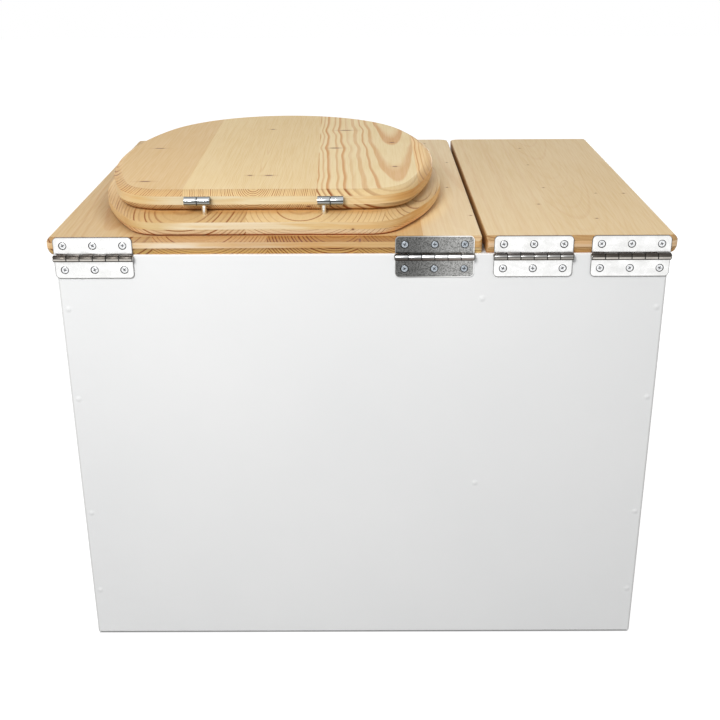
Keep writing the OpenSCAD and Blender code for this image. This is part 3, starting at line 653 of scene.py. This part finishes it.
def screw_heads(row, flat_r, steps, places, finish, body):
    """Puts a head at each place. Together they replace the plain screws of that row."""
    heads = repeated(cross_head(flat_r, steps), places)
    return smooth(new_piece(row + "_heads", heads, finish, body, [row]), 35)


leaf_zinc = screw_zinc("leaf_screw_zinc", 1, leaf_y - head_sink, -1)
screw_sets = {
    "box_leaf_screws": ("box", [1, 2, 3, 4], "box_leaf", -1),
    "seat_board_leaf_screws": ("seat_board", [1, 2], "board_leaf", 1),
    "storage_board_leaf_screws": ("storage_board", [3, 4], "board_leaf", 1),
}
for row, (body, hinges, part, up) in screw_sets.items():
    places = leaf_places(hinges, part, up)
    screw_heads(row, head_r * head_flat, head_steps, places, leaf_zinc, body)


# ---- Boards --------------------------------------------------------------------------------
# Two boards of 18 mm glued pine. The staves run front to back. The rim is milled to a rounding above
# and below, with a flat band between them, but only eased where the boards face each other.

board_corner_r = 8 * mm
rear_gap_corner_r = 4 * mm
front_gap_corner_r = 13 * mm
board_low_round = (3.5 * mm, 7 * mm)
board_top_round = (4.5 * mm, 5 * mm)
gap_side_round = (1.3 * mm, 1.3 * mm)
least_corner_r = 0.3 * mm
corner_steps = 8
round_steps = 12
curve_error = 0.02 * mm


def arc_steps(radius, turn):
    """Number of steps that keep an arc within the curve error of its true line."""
    return max(2, math.ceil(math.radians(turn) / (2 * math.acos(1 - curve_error / radius))))


def oval(centre, width, length, end_r):
    """Outline of an oval with round ends, its length along Y: arcs of (centre, radius, start, end)."""
    reach = length / 2 - end_r
    side_r = (width * width / 4 + reach * reach - end_r * end_r) / (width - 2 * end_r)
    inset = side_r - width / 2
    turn = math.degrees(math.atan(reach / inset))
    return [
        (centre + Vector((-inset, 0)), side_r, -turn, turn),
        (centre + Vector((0, reach)), end_r, turn, 180 - turn),
        (centre + Vector((inset, 0)), side_r, 180 - turn, 180 + turn),
        (centre + Vector((0, -reach)), end_r, 180 + turn, 360 - turn),
    ]


def outline_loop(bm, arcs, inset, z):
    """Adds the outline, moved inwards by the inset, at the given height, and returns its edges."""
    verts = []
    for centre, radius, start, end in arcs:
        steps = arc_steps(radius, end - start)
        for k in range(steps + 1):
            angle = math.radians(start + (end - start) * k / steps)
            point = centre + Vector((math.cos(angle), math.sin(angle))) * (radius - inset)
            if not verts or (verts[-1].co.xy - point).length > 1e-6:
                verts.append(bm.verts.new((point.x, point.y, z)))
    if (verts[-1].co - verts[0].co).length < 1e-6:
        bm.verts.remove(verts.pop())
    return [bm.edges.new((verts[k - 1], verts[k])) for k in range(len(verts))]


def rounding(width, height):
    """Rows of one rounding, from the level face to the edge, as (distance in, distance from the face).
    It lies halfway between a straight chamfer and a quarter of an ellipse, so its edges stay crisp."""
    steps = [k / round_steps for k in range(round_steps + 1)]
    return [
        (
            width * (1 - (step + math.sin(step * math.pi / 2)) / 2),
            height * (step + 1 - math.cos(step * math.pi / 2)) / 2,
        )
        for step in steps
    ]


def rim_rows(bottom, top, low_round, top_round):
    """Rows of the milled rim from the underside up, as (distance in from the edge, height).
    A rounding is given as (width, height)."""
    low = [(inset, bottom + rise) for inset, rise in rounding(*low_round)]
    return low + [(inset, top - rise) for inset, rise in rounding(*top_round)[::-1]]


def skin(bm, loops):
    """Joins each loop to the next, and returns the lowest and the highest one."""
    for lower, upper in zip(loops, loops[1:]):
        bmesh.ops.bridge_loops(bm, edges=lower + upper)
    return loops[0], loops[-1]


def walls(bm, arcs, rows, sign=1):
    """Skins the rows of one outline. The sign is -1 for an opening."""
    return skin(bm, [outline_loop(bm, arcs, sign * inset, z) for inset, z in rows])


def board_loop(bm, low, high, radii, end, right, left):
    """Adds one row of a board's rim, given as (distance in, height) for its ends, its +X side and
    its -X side. The corners' radii go round from front +X, over rear +X and rear -X, to front -X."""
    verts = []
    for quarter, radius in enumerate(radii):
        way = Vector((1 if quarter in (0, 1) else -1, 1 if quarter in (1, 2) else -1))
        side = right if way.x > 0 else left
        reach = Vector([max(radius - inset, least_corner_r) for inset in (side[0], end[0])])
        corner = Vector((high.x if way.x > 0 else low.x, high.y if way.y > 0 else low.y))
        corner -= way * Vector((side[0], end[0])) + way * reach
        for k in range(corner_steps + 1):
            angle = math.radians(90 * (quarter - 1 + k / corner_steps))
            out = Vector((math.cos(angle), math.sin(angle)))
            z = end[1] + (side[1] - end[1]) * out.x ** 2
            verts.append(bm.verts.new((corner.x + out.x * reach.x, corner.y + out.y * reach.y, z)))
    return [bm.edges.new((verts[k - 1], verts[k])) for k in range(len(verts))]


def board_rim(bm, low, high, gap_at_right):
    """The rim of a board, eased along the gap beside the other board and milled elsewhere."""
    milled = rim_rows(low.z, high.z, board_low_round, board_top_round)
    eased_rows = rim_rows(low.z, high.z, gap_side_round, gap_side_round)
    outer = [board_corner_r, board_corner_r]
    gap = [rear_gap_corner_r, front_gap_corner_r]
    radii = gap[::-1] + outer if gap_at_right else outer + gap
    rows = zip(milled, eased_rows, milled) if gap_at_right else zip(milled, milled, eased_rows)
    return skin(bm, [board_loop(bm, low, high, radii, *row) for row in rows])


def slab(bm, *rims):
    """Closes the underside and the top of a slab between its rims."""
    for loops in zip(*rims):
        edges = [edge for loop in loops for edge in loop]
        bmesh.ops.triangle_fill(bm, use_beauty=True, edges=edges)
    bmesh.ops.remove_doubles(bm, verts=bm.verts, dist=1e-7)
    bmesh.ops.recalc_face_normals(bm, faces=bm.faces)
    return bm


bend_reach_x = 26 * mm
bend_reach_y = 24 * mm
band_l = 700 * mm
Stave = namedtuple(
    "Stave", "tint pith_x pith_depth pith_rise ring_gap darkness late end_darkness bold_from dullness"
)


def pine(name, top_z, glue_lines, staves, knots, end_knots, band, underside, side_shades=()):
    """Oiled pine. Each stave has its own growth rings about its own pith, which are cut by the
    piece's faces as a saw would: lines along the top, arcs and rings on the ends.
    A glue line is (across, lean), and runs from front to back.
    A stave is (tint, pith across, pith below the top, its rise along the stave, ring gap,
    darkness of the late wood, share of late wood, darkness on the milled ends, radius from
    which the rings are bold, dullness of the milled ends). The staves lie from +X to -X.
    A knot is (across, along, half its width, half its length, how far it bends the rings), and
    an end knot (across, height, half its width, half its height).
    The band is a list of (across, tint) for the flat band of the rim, from -X to +X.
    The underside is a tone on the lower rounding, which faces down: painted light and shade there.
    The side shades are tones that the rim takes where it faces -X and where it faces +X: painted
    light and shade on the sides.
    All the lengths in these lists are in millimetres."""
    wood = Finish(name)
    x, y, z = wood.split(wood.place())
    facing_x, facing_y, facing_z = wood.split(wood.normal())

    number = 0.0
    for across, lean in glue_lines:
        edge = wood.plus(across * mm, wood.times(y, lean))
        number = wood.plus(number, wood.math("LESS_THAN", x, edge))
    chosen = wood.over(wood.plus(number, 0.5), float(len(staves)))
    shift = wood.times(number, 3.7)

    def by_stave(pick):
        stops = [(k / len(staves), pick(Stave(*stave))) for k, stave in enumerate(staves)]
        return wood.ramp(chosen, stops, "CONSTANT")

    # A ramp holds shares from 0 to 1, so sizes and slopes are scaled on their way in and out.
    tint = by_stave(lambda stave: stave.tint)
    pith = wood.split(by_stave(lambda stave: (
        (stave.pith_x + 500) / 1000, stave.pith_depth / 500 + 0.5, stave.pith_rise / 2 + 0.5
    )))
    pith_x = wood.minus(pith[0], 0.5)
    pith_depth = wood.times(wood.minus(pith[1], 0.5), 0.5)
    pith_rise = wood.times(wood.minus(pith[2], 0.5), 2.0)
    rings = wood.split(by_stave(lambda stave: (stave.ring_gap / 20, stave.darkness, stave.late)))
    ring_gap = wood.times(rings[0], 0.02)
    face_darkness = rings[1]
    late = rings[2]
    ends = wood.split(by_stave(lambda stave: (
        stave.end_darkness / 4, stave.bold_from / 200, stave.dullness
    )))
    end_darkness = wood.times(ends[0], 4.0)
    bold_from = wood.times(ends[1], 0.2)
    dullness = ends[2]

    def drift_of(scale_x, scale_y, amount):
        spot = wood.add("ShaderNodeCombineXYZ", {
            0: wood.plus(wood.times(x, scale_x), shift),
            1: wood.times(y, scale_y),
            2: wood.times(z, scale_x),
        }).outputs[0]
        return wood.times(wood.minus(wood.noise(spot), 0.5), amount * mm)

    # The pith wanders a little along the stave, and the rings bend round the knots.
    drift = wood.plus(drift_of(3.0, 7.0, 9.0), drift_of(24.0, 11.0, 1.6))
    for knot_x, knot_y, half_x, half_y, bend in knots:
        if bend:
            off_x = wood.over(wood.minus(x, knot_x * mm), bend_reach_x)
            off_y = wood.over(wood.minus(y, knot_y * mm), bend_reach_y)
            spread = wood.plus(wood.times(off_x, off_x), wood.times(off_y, off_y))
            pull = wood.times(wood.math("EXPONENT", wood.times(spread, -1.0)), bend * mm)
            drift = wood.minus(drift, wood.times(pull, off_x))

    side = wood.minus(wood.plus(x, drift), pith_x)
    pith_z = wood.minus(wood.times(y, pith_rise), pith_depth)
    radius = wood.distance(side, wood.minus(wood.minus(z, top_z), pith_z))
    year_place = wood.add("ShaderNodeCombineXYZ", {0: wood.times(radius, 90.0), 1: shift}).outputs[0]
    count = wood.plus(wood.over(radius, ring_gap), wood.times(wood.noise(year_place), 1.6))
    year = wood.math("FRACT", count)
    luck = wood.add(
        "ShaderNodeTexWhiteNoise", {1: wood.math("FLOOR", count)}, noise_dimensions="1D"
    ).outputs[0]
    bold = wood.between(radius, bold_from, wood.plus(bold_from, 8 * mm), 0.28, 1.0)
    late = wood.times(late, wood.plus(0.45, wood.times(bold, 0.55)))
    growth = wood.over(wood.minus(year, wood.minus(1.0, late)), wood.times(late, 0.5), clamp=True)
    growth = wood.times(growth, wood.between(year, 0.94, 1.0, 1.0, 0.15))
    growth = wood.times(wood.math("POWER", growth, 1.4), wood.between(luck, 0.0, 1.0, 0.3, 1.0))

    # Masks for the rim: its flat band, its roundings, the lower one, and the crease below that, which gets
    # a painted shade.
    end_grain = wood.between(wood.math("ABSOLUTE", facing_y), 0.01, 0.12)
    flat_band = wood.between(wood.math("ABSOLUTE", facing_z), 0.1, 0.2, 1.0, 0.0)
    milled = wood.times(end_grain, wood.minus(1.0, flat_band))
    rounded = wood.between(facing_z, -0.995, -0.97)
    below = wood.times(wood.between(facing_z, -0.15, -0.45), rounded)
    above = wood.times(milled, wood.minus(1.0, below))
    crease_shade = wood.times(wood.between(facing_z, -0.65, -0.92), rounded)
    end_darkness = wood.times(end_darkness, wood.plus(bold, wood.times(below, 0.3)))
    darkness = wood.plus(face_darkness, wood.times(milled, wood.minus(end_darkness, face_darkness)))
    darkness = wood.times(darkness, wood.minus(1.0, wood.times(flat_band, 0.8)))
    line = wood.times(growth, darkness, clamp=True)

    fibre = wood.noise(wood.stretched(520, 16, 520), detail=3, roughness=0.6)
    cloud = wood.noise(wood.stretched(11, 4, 11), detail=3)
    streak = wood.noise(wood.stretched(9, 9, 800), detail=3)
    amber = wood.noise(wood.stretched(13, 13, 130), detail=3)
    base = wood.toned(wood.between(cloud, 0.3, 0.7), tint, (0.96, 0.94, 0.90))
    base = wood.toned(wood.between(fibre, 0.35, 0.7, 0.0, 0.6), base, (0.94, 0.90, 0.83))
    base = wood.toned(wood.times(above, dullness), base, (0.50, 0.35, 0.19))
    # Painted light and shade on the lower rounding, which faces down.
    base = wood.toned(below, base, underside)
    # Painted shade in the crease below the lower rounding.
    base = wood.toned(crease_shade, base, (0.84, 0.48, 0.24))
    band_place = wood.plus(wood.over(x, band_l), 0.5)
    band_tint = wood.ramp(band_place, [(at * mm / band_l + 0.5, tone) for at, tone in band])
    base = wood.mix(flat_band, base, band_tint)
    base = wood.toned(wood.times(flat_band, wood.between(streak, 0.35, 0.65)), base, (0.93, 0.88, 0.80))
    base = wood.toned(wood.times(flat_band, wood.between(amber, 0.47, 0.68)), base, (0.94, 0.82, 0.64))
    # Painted light and shade on the rim's sides facing -X and +X.
    for way, tone in zip((-1, 1), side_shades):
        base = wood.toned(wood.between(wood.times(facing_x, way), 0.25, 0.8), base, tone)
    late_tone = wood.mix(milled, (0.70, 0.36, 0.12, 1), (0.42, 0.20, 0.10, 1))
    colour = wood.toned(line, base, late_tone)

    def spotted(colour, marks, place_a, place_b, mask):
        for at_a, at_b, half_a, half_b, *rest in marks:
            off = wood.distance(
                wood.over(wood.minus(place_a, at_a * mm), half_a * mm),
                wood.over(wood.minus(place_b, at_b * mm), half_b * mm),
            )
            halo = wood.times(wood.between(off, 0.9, 3.0, 0.30, 0.0), mask)
            core = wood.times(wood.between(off, 0.55, 1.2, 0.92, 0.0), mask)
            colour = wood.mix(halo, colour, (0.48, 0.24, 0.10, 1))
            colour = wood.mix(core, colour, (0.17, 0.065, 0.03, 1))
        return colour

    colour = spotted(colour, knots, x, y, 1.0)
    colour = spotted(colour, end_knots, x, z, wood.math("GREATER_THAN", facing_y, 0.3))

    wood.colour = colour
    wood.surface(
        Base_Color=colour,
        Roughness=wood.between(fibre, 0.3, 0.7, 0.46, 0.6),
        Specular_IOR_Level=0.28,
    )
    wood.bump(wood.plus(wood.times(fibre, 0.4), line), 0.00006, 0.5)
    return wood


board_low, board_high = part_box("seat_board")
board_top = board_high.z
seat_x = (board_low.x + board_high.x) / 2
opening_w = 225 * mm
opening_l = 285 * mm
opening_end_r = 95 * mm
opening_gap = 2 * mm
opening_centre = Vector((seat_x, mid_y))
board_hole = oval(
    opening_centre, opening_w + 2 * opening_gap, opening_l + 2 * opening_gap, opening_end_r + opening_gap
)

seat_board_pine = pine(
    "seat_board_pine", board_top,
    glue_lines=[(212, 0), (96, 0), (4, 0), (-62, 0)],
    staves=[
        ((0.64, 0.465, 0.25), 262, -34, 0.05, 5.5, 0.26, 0.4, 1.4, 0, 0.73),
        ((0.72, 0.50, 0.26), 163, -45, 0.01, 3.0, 0.20, 0.36, 1.4, 52, 0.73),
        ((0.72, 0.50, 0.25), 26, -27, 0.01, 2.8, 0.26, 0.45, 4.0, 34, 1),
        ((0.66, 0.45, 0.22), -60, -60, 0.0, 2.6, 0.20, 0.4, 1.2, 60, 1),
        ((0.79, 0.625, 0.39), -118, -90, 0.01, 3.6, 0.14, 0.36, 0.8, 0, 0.5),
    ],
    knots=[
        (-110, -98, 1.4, 1.2, 0), (-100.6, 38, 1.6, 1.3, 2), (-117, 165, 1.6, 1.3, 2),
        (-88, -222, 1.4, 1.2, 0),
    ],
    end_knots=[(2, 476.5, 1.5, 1.8), (305, 478.9, 4, 0.6)],
    band=[
        (0, (0.63, 0.41, 0.19)), (60, (0.64, 0.44, 0.24)), (120, (0.66, 0.48, 0.30)),
        (185, (0.81, 0.69, 0.53)), (225, (0.80, 0.66, 0.48)), (262, (0.66, 0.46, 0.25)),
    ],
    underside=(1.0, 0.90, 0.55),
)

# Painted shade darkens the board round the ring's foot on the +X side, by the box's end, and
# painted light brightens it on the -X side.
around = seat_board_pine.split(seat_board_pine.place())
ring_low, ring_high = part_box("seat_ring")
off_ring = [
    seat_board_pine.over(seat_board_pine.minus(around[axis], middle), half)
    for axis, middle, half in (
        (0, seat_x, (ring_high.x - ring_low.x) / 2),
        (1, (ring_low.y + ring_high.y) / 2, (ring_high.y - ring_low.y) / 2),
    )
]
cubes = [seat_board_pine.math("POWER", seat_board_pine.math("ABSOLUTE", off), 3.0) for off in off_ring]
on_top = seat_board_pine.between(seat_board_pine.split(seat_board_pine.normal())[2], 0.95, 0.995)
ring_foot_light_mask = seat_board_pine.between(seat_board_pine.plus(*cubes), 1.0, 1.35, 1.0, 0.0)
ring_foot_light_mask = seat_board_pine.times(ring_foot_light_mask, on_top)
painted_shade_and_light = seat_board_pine.mix(
    seat_board_pine.between(off_ring[0], -0.6, 0.6), (1.10, 1.08, 0.97, 1), (0.74, 0.68, 0.60, 1)
)
seat_board_pine.surface(
    Base_Color=seat_board_pine.toned(ring_foot_light_mask, seat_board_pine.colour, painted_shade_and_light)
)

storage_pine = pine(
    "storage_board_pine", board_top,
    glue_lines=[(-205, 0)],
    staves=[
        ((0.76, 0.585, 0.342), -168, -190, 0.0, 2.6, 0.10, 0.4, 0.6, 0, 0.8),
        ((0.75, 0.57, 0.326), -232, -60, 0.06, 2.8, 0.12, 0.4, 0.6, 0, 0.8),
    ],
    knots=[
        (-216, -185, 1.7, 1.3, 2), (-213, -82, 1.4, 1.2, 0), (-214, 41, 1.5, 1.2, 2),
        (-197, 118, 1.6, 1.4, 2), (-270, 69, 1.3, 1.1, 0), (-302, 70, 1.7, 1.4, 2),
        (-249.5, 179, 1.7, 1.4, 2),
    ],
    end_knots=[],
    band=[(-300, (0.70, 0.51, 0.32)), (-200, (0.74, 0.55, 0.37))],
    underside=(0.85, 0.62, 0.36),
    # Painted shade on the +X side, which faces into the gap beside the seat board.
    side_shades=((1, 1, 1), (0.52, 0.38, 0.22)),
)
hole_ease = 0.8 * mm
hole_wall = [
    (hole_ease, board_low.z), (0, board_low.z + hole_ease),
    (0, board_top - hole_ease), (hole_ease, board_top),
]
seat_board = bmesh.new()
seat_rim = board_rim(seat_board, board_low, board_high, False)
slab(seat_board, seat_rim, walls(seat_board, board_hole, hole_wall, -1))
smooth(new_piece(
    "seat_board_pine", seat_board, seat_board_pine, "seat_board", ["seat_board"]
), 9)
storage_board = bmesh.new()
slab(storage_board, board_rim(storage_board, *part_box("storage_board"), True))
smooth(new_piece(
    "storage_board_pine", storage_board, storage_pine, "storage_board", ["storage_board"]
), 9)


# ---- Splash guard --------------------------------------------------------------------------
# A collar of brushed stainless sheet under the seat board. Its flange is screwed up into the
# board and its skirt hangs down into the bucket.

stainless = Finish("brushed_stainless")
stainless_lines = stainless.noise(stainless.stretched(40, 40, 2200), detail=2)
stainless.surface(
    Base_Color=stainless.ramp(stainless_lines, [(0.3, (0.50, 0.50, 0.50)), (0.7, (0.66, 0.66, 0.65))]),
    Metallic=1.0,
    Roughness=stainless.between(stainless_lines, 0.3, 0.7, 0.3, 0.42),
)
stainless.bump(stainless_lines, 0.00002)
eased("splash_guard", stainless, "seat_board", 0.2 * mm, 1)

pan_head_r = 3 * mm
pan_flat_r = 2.25 * mm
pan_steps = [(1.15, 0.25 * mm), (1.1, 0.45 * mm), (1.054, 0.6 * mm), (1.0, 0.4 * mm)]
pan_low, pan_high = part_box("splash_guard_screws")
pan_middle = (pan_low + pan_high) / 2
pan_reach = (pan_high - pan_low) / 2 - Vector((pan_head_r, pan_head_r, 0))
pan_places = [
    facing((pan_middle.x + x * pan_reach.x, pan_middle.y + y * pan_reach.y, pan_low.z), (0, 0, -1))
    for x, y in ((1, 0), (0, 1), (-1, 0), (0, -1))
]
pan_zinc = screw_zinc("pan_screw_zinc", 2, pan_low.z, 1)
screw_heads("splash_guard_screws", pan_flat_r, pan_steps, pan_places, pan_zinc, "seat_board")


# ---- Seat ring -----------------------------------------------------------------------------
# A D-shaped ring of 20 mm glued pine, milled like the boards with a wide soft slope above. Four
# screws hold it flat on the seat board from below, through the board.

ring_widest = 195 * mm
ring_side_r = 335 * mm
ring_corner_r = 40 * mm
ring_low_round = (5 * mm, 7.5 * mm)
ring_top_round = (24 * mm, 5.2 * mm)
opening_round = (6 * mm, 6 * mm)


def d_shape(centre_x, rear_y, w, l, widest, side_r, corner_r):
    """D-shaped outline with its straight edge at the rear and its nose to the front, on -Y.
    It is widest at the given distance from its rear edge."""
    inset = side_r - w / 2
    ahead = l - widest
    nose_r = (side_r * side_r - inset * inset - ahead * ahead) / (2 * (side_r - ahead))
    low = math.degrees(math.asin((corner_r - widest) / (side_r - corner_r)))
    high = math.degrees(math.acos(inset / (side_r - nose_r)))
    corner_x = (side_r - corner_r) * math.cos(math.radians(low)) - inset

    def at(x, y):
        return Vector((centre_x - x, rear_y - y))

    return [
        (at(corner_x, corner_r), corner_r, 90, low + 180),
        (at(-inset, widest), side_r, low + 180, high + 180),
        (at(0, l - nose_r), nose_r, high + 180, 360 - high),
        (at(inset, widest), side_r, 360 - high, 360 - low),
        (at(-corner_x, corner_r), corner_r, 360 - low, 450),
    ]


ring_outline = d_shape(
    seat_x, ring_high.y, ring_high.x - ring_low.x, ring_high.y - ring_low.y,
    ring_widest, ring_side_r, ring_corner_r,
)
ring_pine = pine(
    "seat_ring_pine", ring_high.z,
    glue_lines=[(117, 0), (-24, 0)],
    staves=[
        ((0.77, 0.57, 0.30), 183, -45, 0.012, 3.7, 0.20, 0.5, 0.95, 52, 0.5),
        ((0.82, 0.63, 0.35), 61, -62, 0.012, 3.6, 0.16, 0.27, 0.9, 0, 0.36),
        ((0.79, 0.59, 0.31), -70, -60, 0.0, 2.2, 0.14, 0.35, 0.9, 0, 0.3),
    ],
    knots=[],
    end_knots=[(9, 487.2, 1.5, 1.1)],
    band=[
        (-110, (0.80, 0.56, 0.28)), (0, (0.73, 0.54, 0.30)), (50, (0.74, 0.58, 0.34)),
        (110, (0.78, 0.64, 0.44)), (180, (0.79, 0.67, 0.47)), (205, (0.66, 0.49, 0.25)),
    ],
    underside=(1.22, 1.20, 1.40),
    side_shades=((1.06, 0.98, 0.84), (0.90, 0.82, 0.72)),
)

# Painted shade: a golden tone on the nearly level top where the lid's edge shades it, and a dark
# line painted along the ring's foot.
crevice_low = ring_low.z + 1.4 * mm
crevice_high = ring_low.z + 2.3 * mm
under_lid_shade = ring_pine.between(ring_pine.split(ring_pine.normal())[2], 0.985, 0.998)
ring_painted_shade = ring_pine.mix(under_lid_shade, (1, 1, 1, 1), (0.95, 0.80, 0.60, 1))
ring_z = ring_pine.split(ring_pine.place())[2]
crevice_painted_shade = ring_pine.between(ring_z, crevice_low, crevice_high, 1.0, 0.0)
ring_painted_shade = ring_pine.mix(crevice_painted_shade, ring_painted_shade, (0.40, 0.12, 0.02, 1))
ring_pine.surface(Base_Color=ring_pine.toned(1.0, ring_pine.colour, ring_painted_shade))

ring_rows = rim_rows(ring_low.z, ring_high.z, ring_low_round, ring_top_round)
hole_rows = rim_rows(ring_low.z, ring_high.z, opening_round, opening_round)
ring = bmesh.new()
ring_hole = walls(ring, oval(opening_centre, opening_w, opening_l, opening_end_r), hole_rows, -1)
slab(ring, walls(ring, ring_outline, ring_rows), ring_hole)
smooth(new_piece("seat_ring_pine", ring, ring_pine, "seat_board", ["seat_ring"]), 9)

ring_head_r = 4 * mm
low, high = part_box("seat_ring_screws")
ring_zinc = screw_zinc("ring_screw_zinc", 2, low.z, 1)
ring_places = [
    facing((x, y, low.z), (0, 0, -1))
    for x in (low.x + ring_head_r, high.x - ring_head_r)
    for y in (low.y + ring_head_r, high.y - ring_head_r)
]
ring_flat_r = ring_head_r * head_flat
screw_heads("seat_ring_screws", ring_flat_r, head_steps, ring_places, ring_zinc, "seat_board")


# ---- Lid -----------------------------------------------------------------------------------
# A D-shaped lid of 20 mm glued pine with a milled rim. One stave is sawn close to the bark, so its
# rings show as broad rosy bands that bend round small knots.

lid_widest = 183 * mm
lid_side_r = 425 * mm
lid_corner_r = 54 * mm
lid_low_round = (5 * mm, 6 * mm)
lid_top_round = (8.5 * mm, 5.4 * mm)
lid_low, lid_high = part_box("seat_lid")
lid_outline = d_shape(
    seat_x, lid_high.y, lid_high.x - lid_low.x, lid_high.y - lid_low.y,
    lid_widest, lid_side_r, lid_corner_r,
)
lid_pine = pine(
    "seat_lid_pine", lid_high.z,
    glue_lines=[(184.5, -0.008), (50.7, -0.0226), (-60.5, 0.006)],
    staves=[
        ((0.71, 0.50, 0.25), 330, -120, 0.02, 1.8, 0.12, 0.45, 0.9, 0, 0.30),
        ((0.79, 0.61, 0.33), 109.9, -3, 0.02, 1.75, 0.22, 0.45, 1.5, 0, 0.3),
        ((0.83, 0.67, 0.39), -37, -50, 0.032, 6.0, 0.82, 0.56, 1.0, 60, 0.35),
        ((0.86, 0.61, 0.30), -175, -80, 0.0, 3.2, 0.8, 0.5, 0.5, 0, 0.4),
    ],
    knots=[
        (20.6, -100.6, 8, 2.2, 8), (31.9, 10.1, 6.5, 2.4, 8), (-36.8, -21.9, 3.4, 2.4, 4),
        (-36.8, 111.4, 3, 2.2, 3), (119.7, 152.2, 3, 2.0, 3), (99.3, 152.6, 5, 2.2, 5),
        (114.7, -109.7, 3, 2.0, 3), (227.6, 177.9, 6.5, 2.0, 3), (240.8, 7.9, 6.5, 1.8, 3),
    ],
    end_knots=[(54, 505, 2.4, 0.9)],
    band=[
        (-90, (0.82, 0.54, 0.25)), (-10, (0.74, 0.56, 0.31)), (90, (0.73, 0.63, 0.41)),
        (190, (0.71, 0.62, 0.43)), (222, (0.64, 0.48, 0.25)),
    ],
    underside=(0.83, 0.79, 0.78),
    side_shades=((0.90, 0.80, 0.64), (0.94, 0.88, 0.76)),
)
lid = bmesh.new()
slab(lid, walls(lid, lid_outline, rim_rows(lid_low.z, lid_high.z, lid_low_round, lid_top_round)))
smooth(new_piece("seat_lid_pine", lid, lid_pine, "seat_lid", ["seat_lid"]), 9)

bumper_rubber = moulded("bumper_rubber", 700, (0.40, 0.40, 0.39), (0.50, 0.50, 0.49), 0.6, 0.6, 0.00003)
eased("lid_bumpers", bumper_rubber, "seat_lid", 0.4 * mm)


# ---- Lid hinges ----------------------------------------------------------------------------
# Two small hinges of turned brass, bright nickel plated. In each, one barrel stands on a stud in
# the ring, and the other hangs on a stud in the lid's rear edge. A dark nylon washer parts them.

barrel_r = 4 * mm
barrel_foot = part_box("lid_hinge_1_lid_barrel")[1].z - 2 * barrel_r
nickel = Finish("bright_nickel")
nickel_wear = nickel.noise(nickel.stretched(40, 900, 900), detail=3)
nickel_facing = nickel.split(nickel.normal())
# Painted reflections: bands of tone round the barrels by how far their surface turns up or down.
nickel_painted_reflections = nickel.ramp(nickel.plus(nickel.times(nickel_facing[2], 0.5), 0.5), [
    (0.0, (0.05, 0.05, 0.045)), (0.20, (0.08, 0.08, 0.075)), (0.26, (0.28, 0.29, 0.28)),
    (0.48, (0.34, 0.35, 0.34)), (0.52, (0.05, 0.05, 0.05)), (0.59, (0.07, 0.07, 0.07)),
    (0.64, (0.40, 0.43, 0.44)), (0.72, (0.60, 0.63, 0.65)), (0.93, (0.55, 0.57, 0.58)),
    (0.98, (0.10, 0.10, 0.10)),
])
barrel_z = nickel.split(nickel.place())[2]
on_barrel = nickel.between(barrel_z, barrel_foot - 0.1 * mm, barrel_foot + 0.3 * mm)
nickel_colour = nickel.mix(on_barrel, (0.86, 0.86, 0.84, 1), nickel_painted_reflections)
# Painted shade at the barrels' ends.
barrel_end_painted_shade = nickel.times(nickel.between(nickel.math("ABSOLUTE", nickel_facing[0]), 0.25, 0.8), on_barrel)
nickel_colour = nickel.mix(barrel_end_painted_shade, nickel_colour, (0.10, 0.10, 0.095, 1))
nickel_worn = nickel.between(nickel_wear, 0.4, 0.65, 0.0, 0.6)
nickel.surface(
    Base_Color=nickel.toned(nickel_worn, nickel_colour, (0.55, 0.54, 0.50)),
    Metallic=1.0,
    Roughness=nickel.between(nickel_wear, 0.3, 0.7, 0.12, 0.28),
)
nickel.bump(nickel_wear, 0.00001)

nylon = moulded("dark_nylon", 800, (0.02, 0.02, 0.02), (0.035, 0.035, 0.035), 0.55, 0.55)
for number in (1, 2):
    eased(f"lid_hinge_{number}_ring_barrel", nickel, "seat_board", 0.5 * mm, 3)
    eased(f"lid_hinge_{number}_lid_barrel", nickel, "seat_lid", 0.5 * mm, 3)
    eased(f"lid_hinge_{number}_pin", nickel, "seat_lid", 0.2 * mm)
    eased(f"lid_hinge_{number}_washer", nylon, "seat_lid", 0.1 * mm)


# ---- Bucket --------------------------------------------------------------------------------
# A 28 litre bucket of black polypropylene on the floor panel, with a rolled rim, one stiffening
# rib and two ears. It has a wire bail with a turned plastic grip.

plastic = moulded(
    "black_plastic", 650, (0.016, 0.016, 0.018), (0.026, 0.026, 0.028), 0.34, 0.5, 0.00005, detail=3
)
bail_wire = zinc("bail_zinc", (0.42, 0.42, 0.42), (0.68, 0.68, 0.67), 0.25, 0.4, 200)
eased("bucket", plastic, "bucket", 0.8 * mm)
eased("bail", bail_wire, "bail")
eased("bail_grip", plastic, "bail", 0.5 * mm)
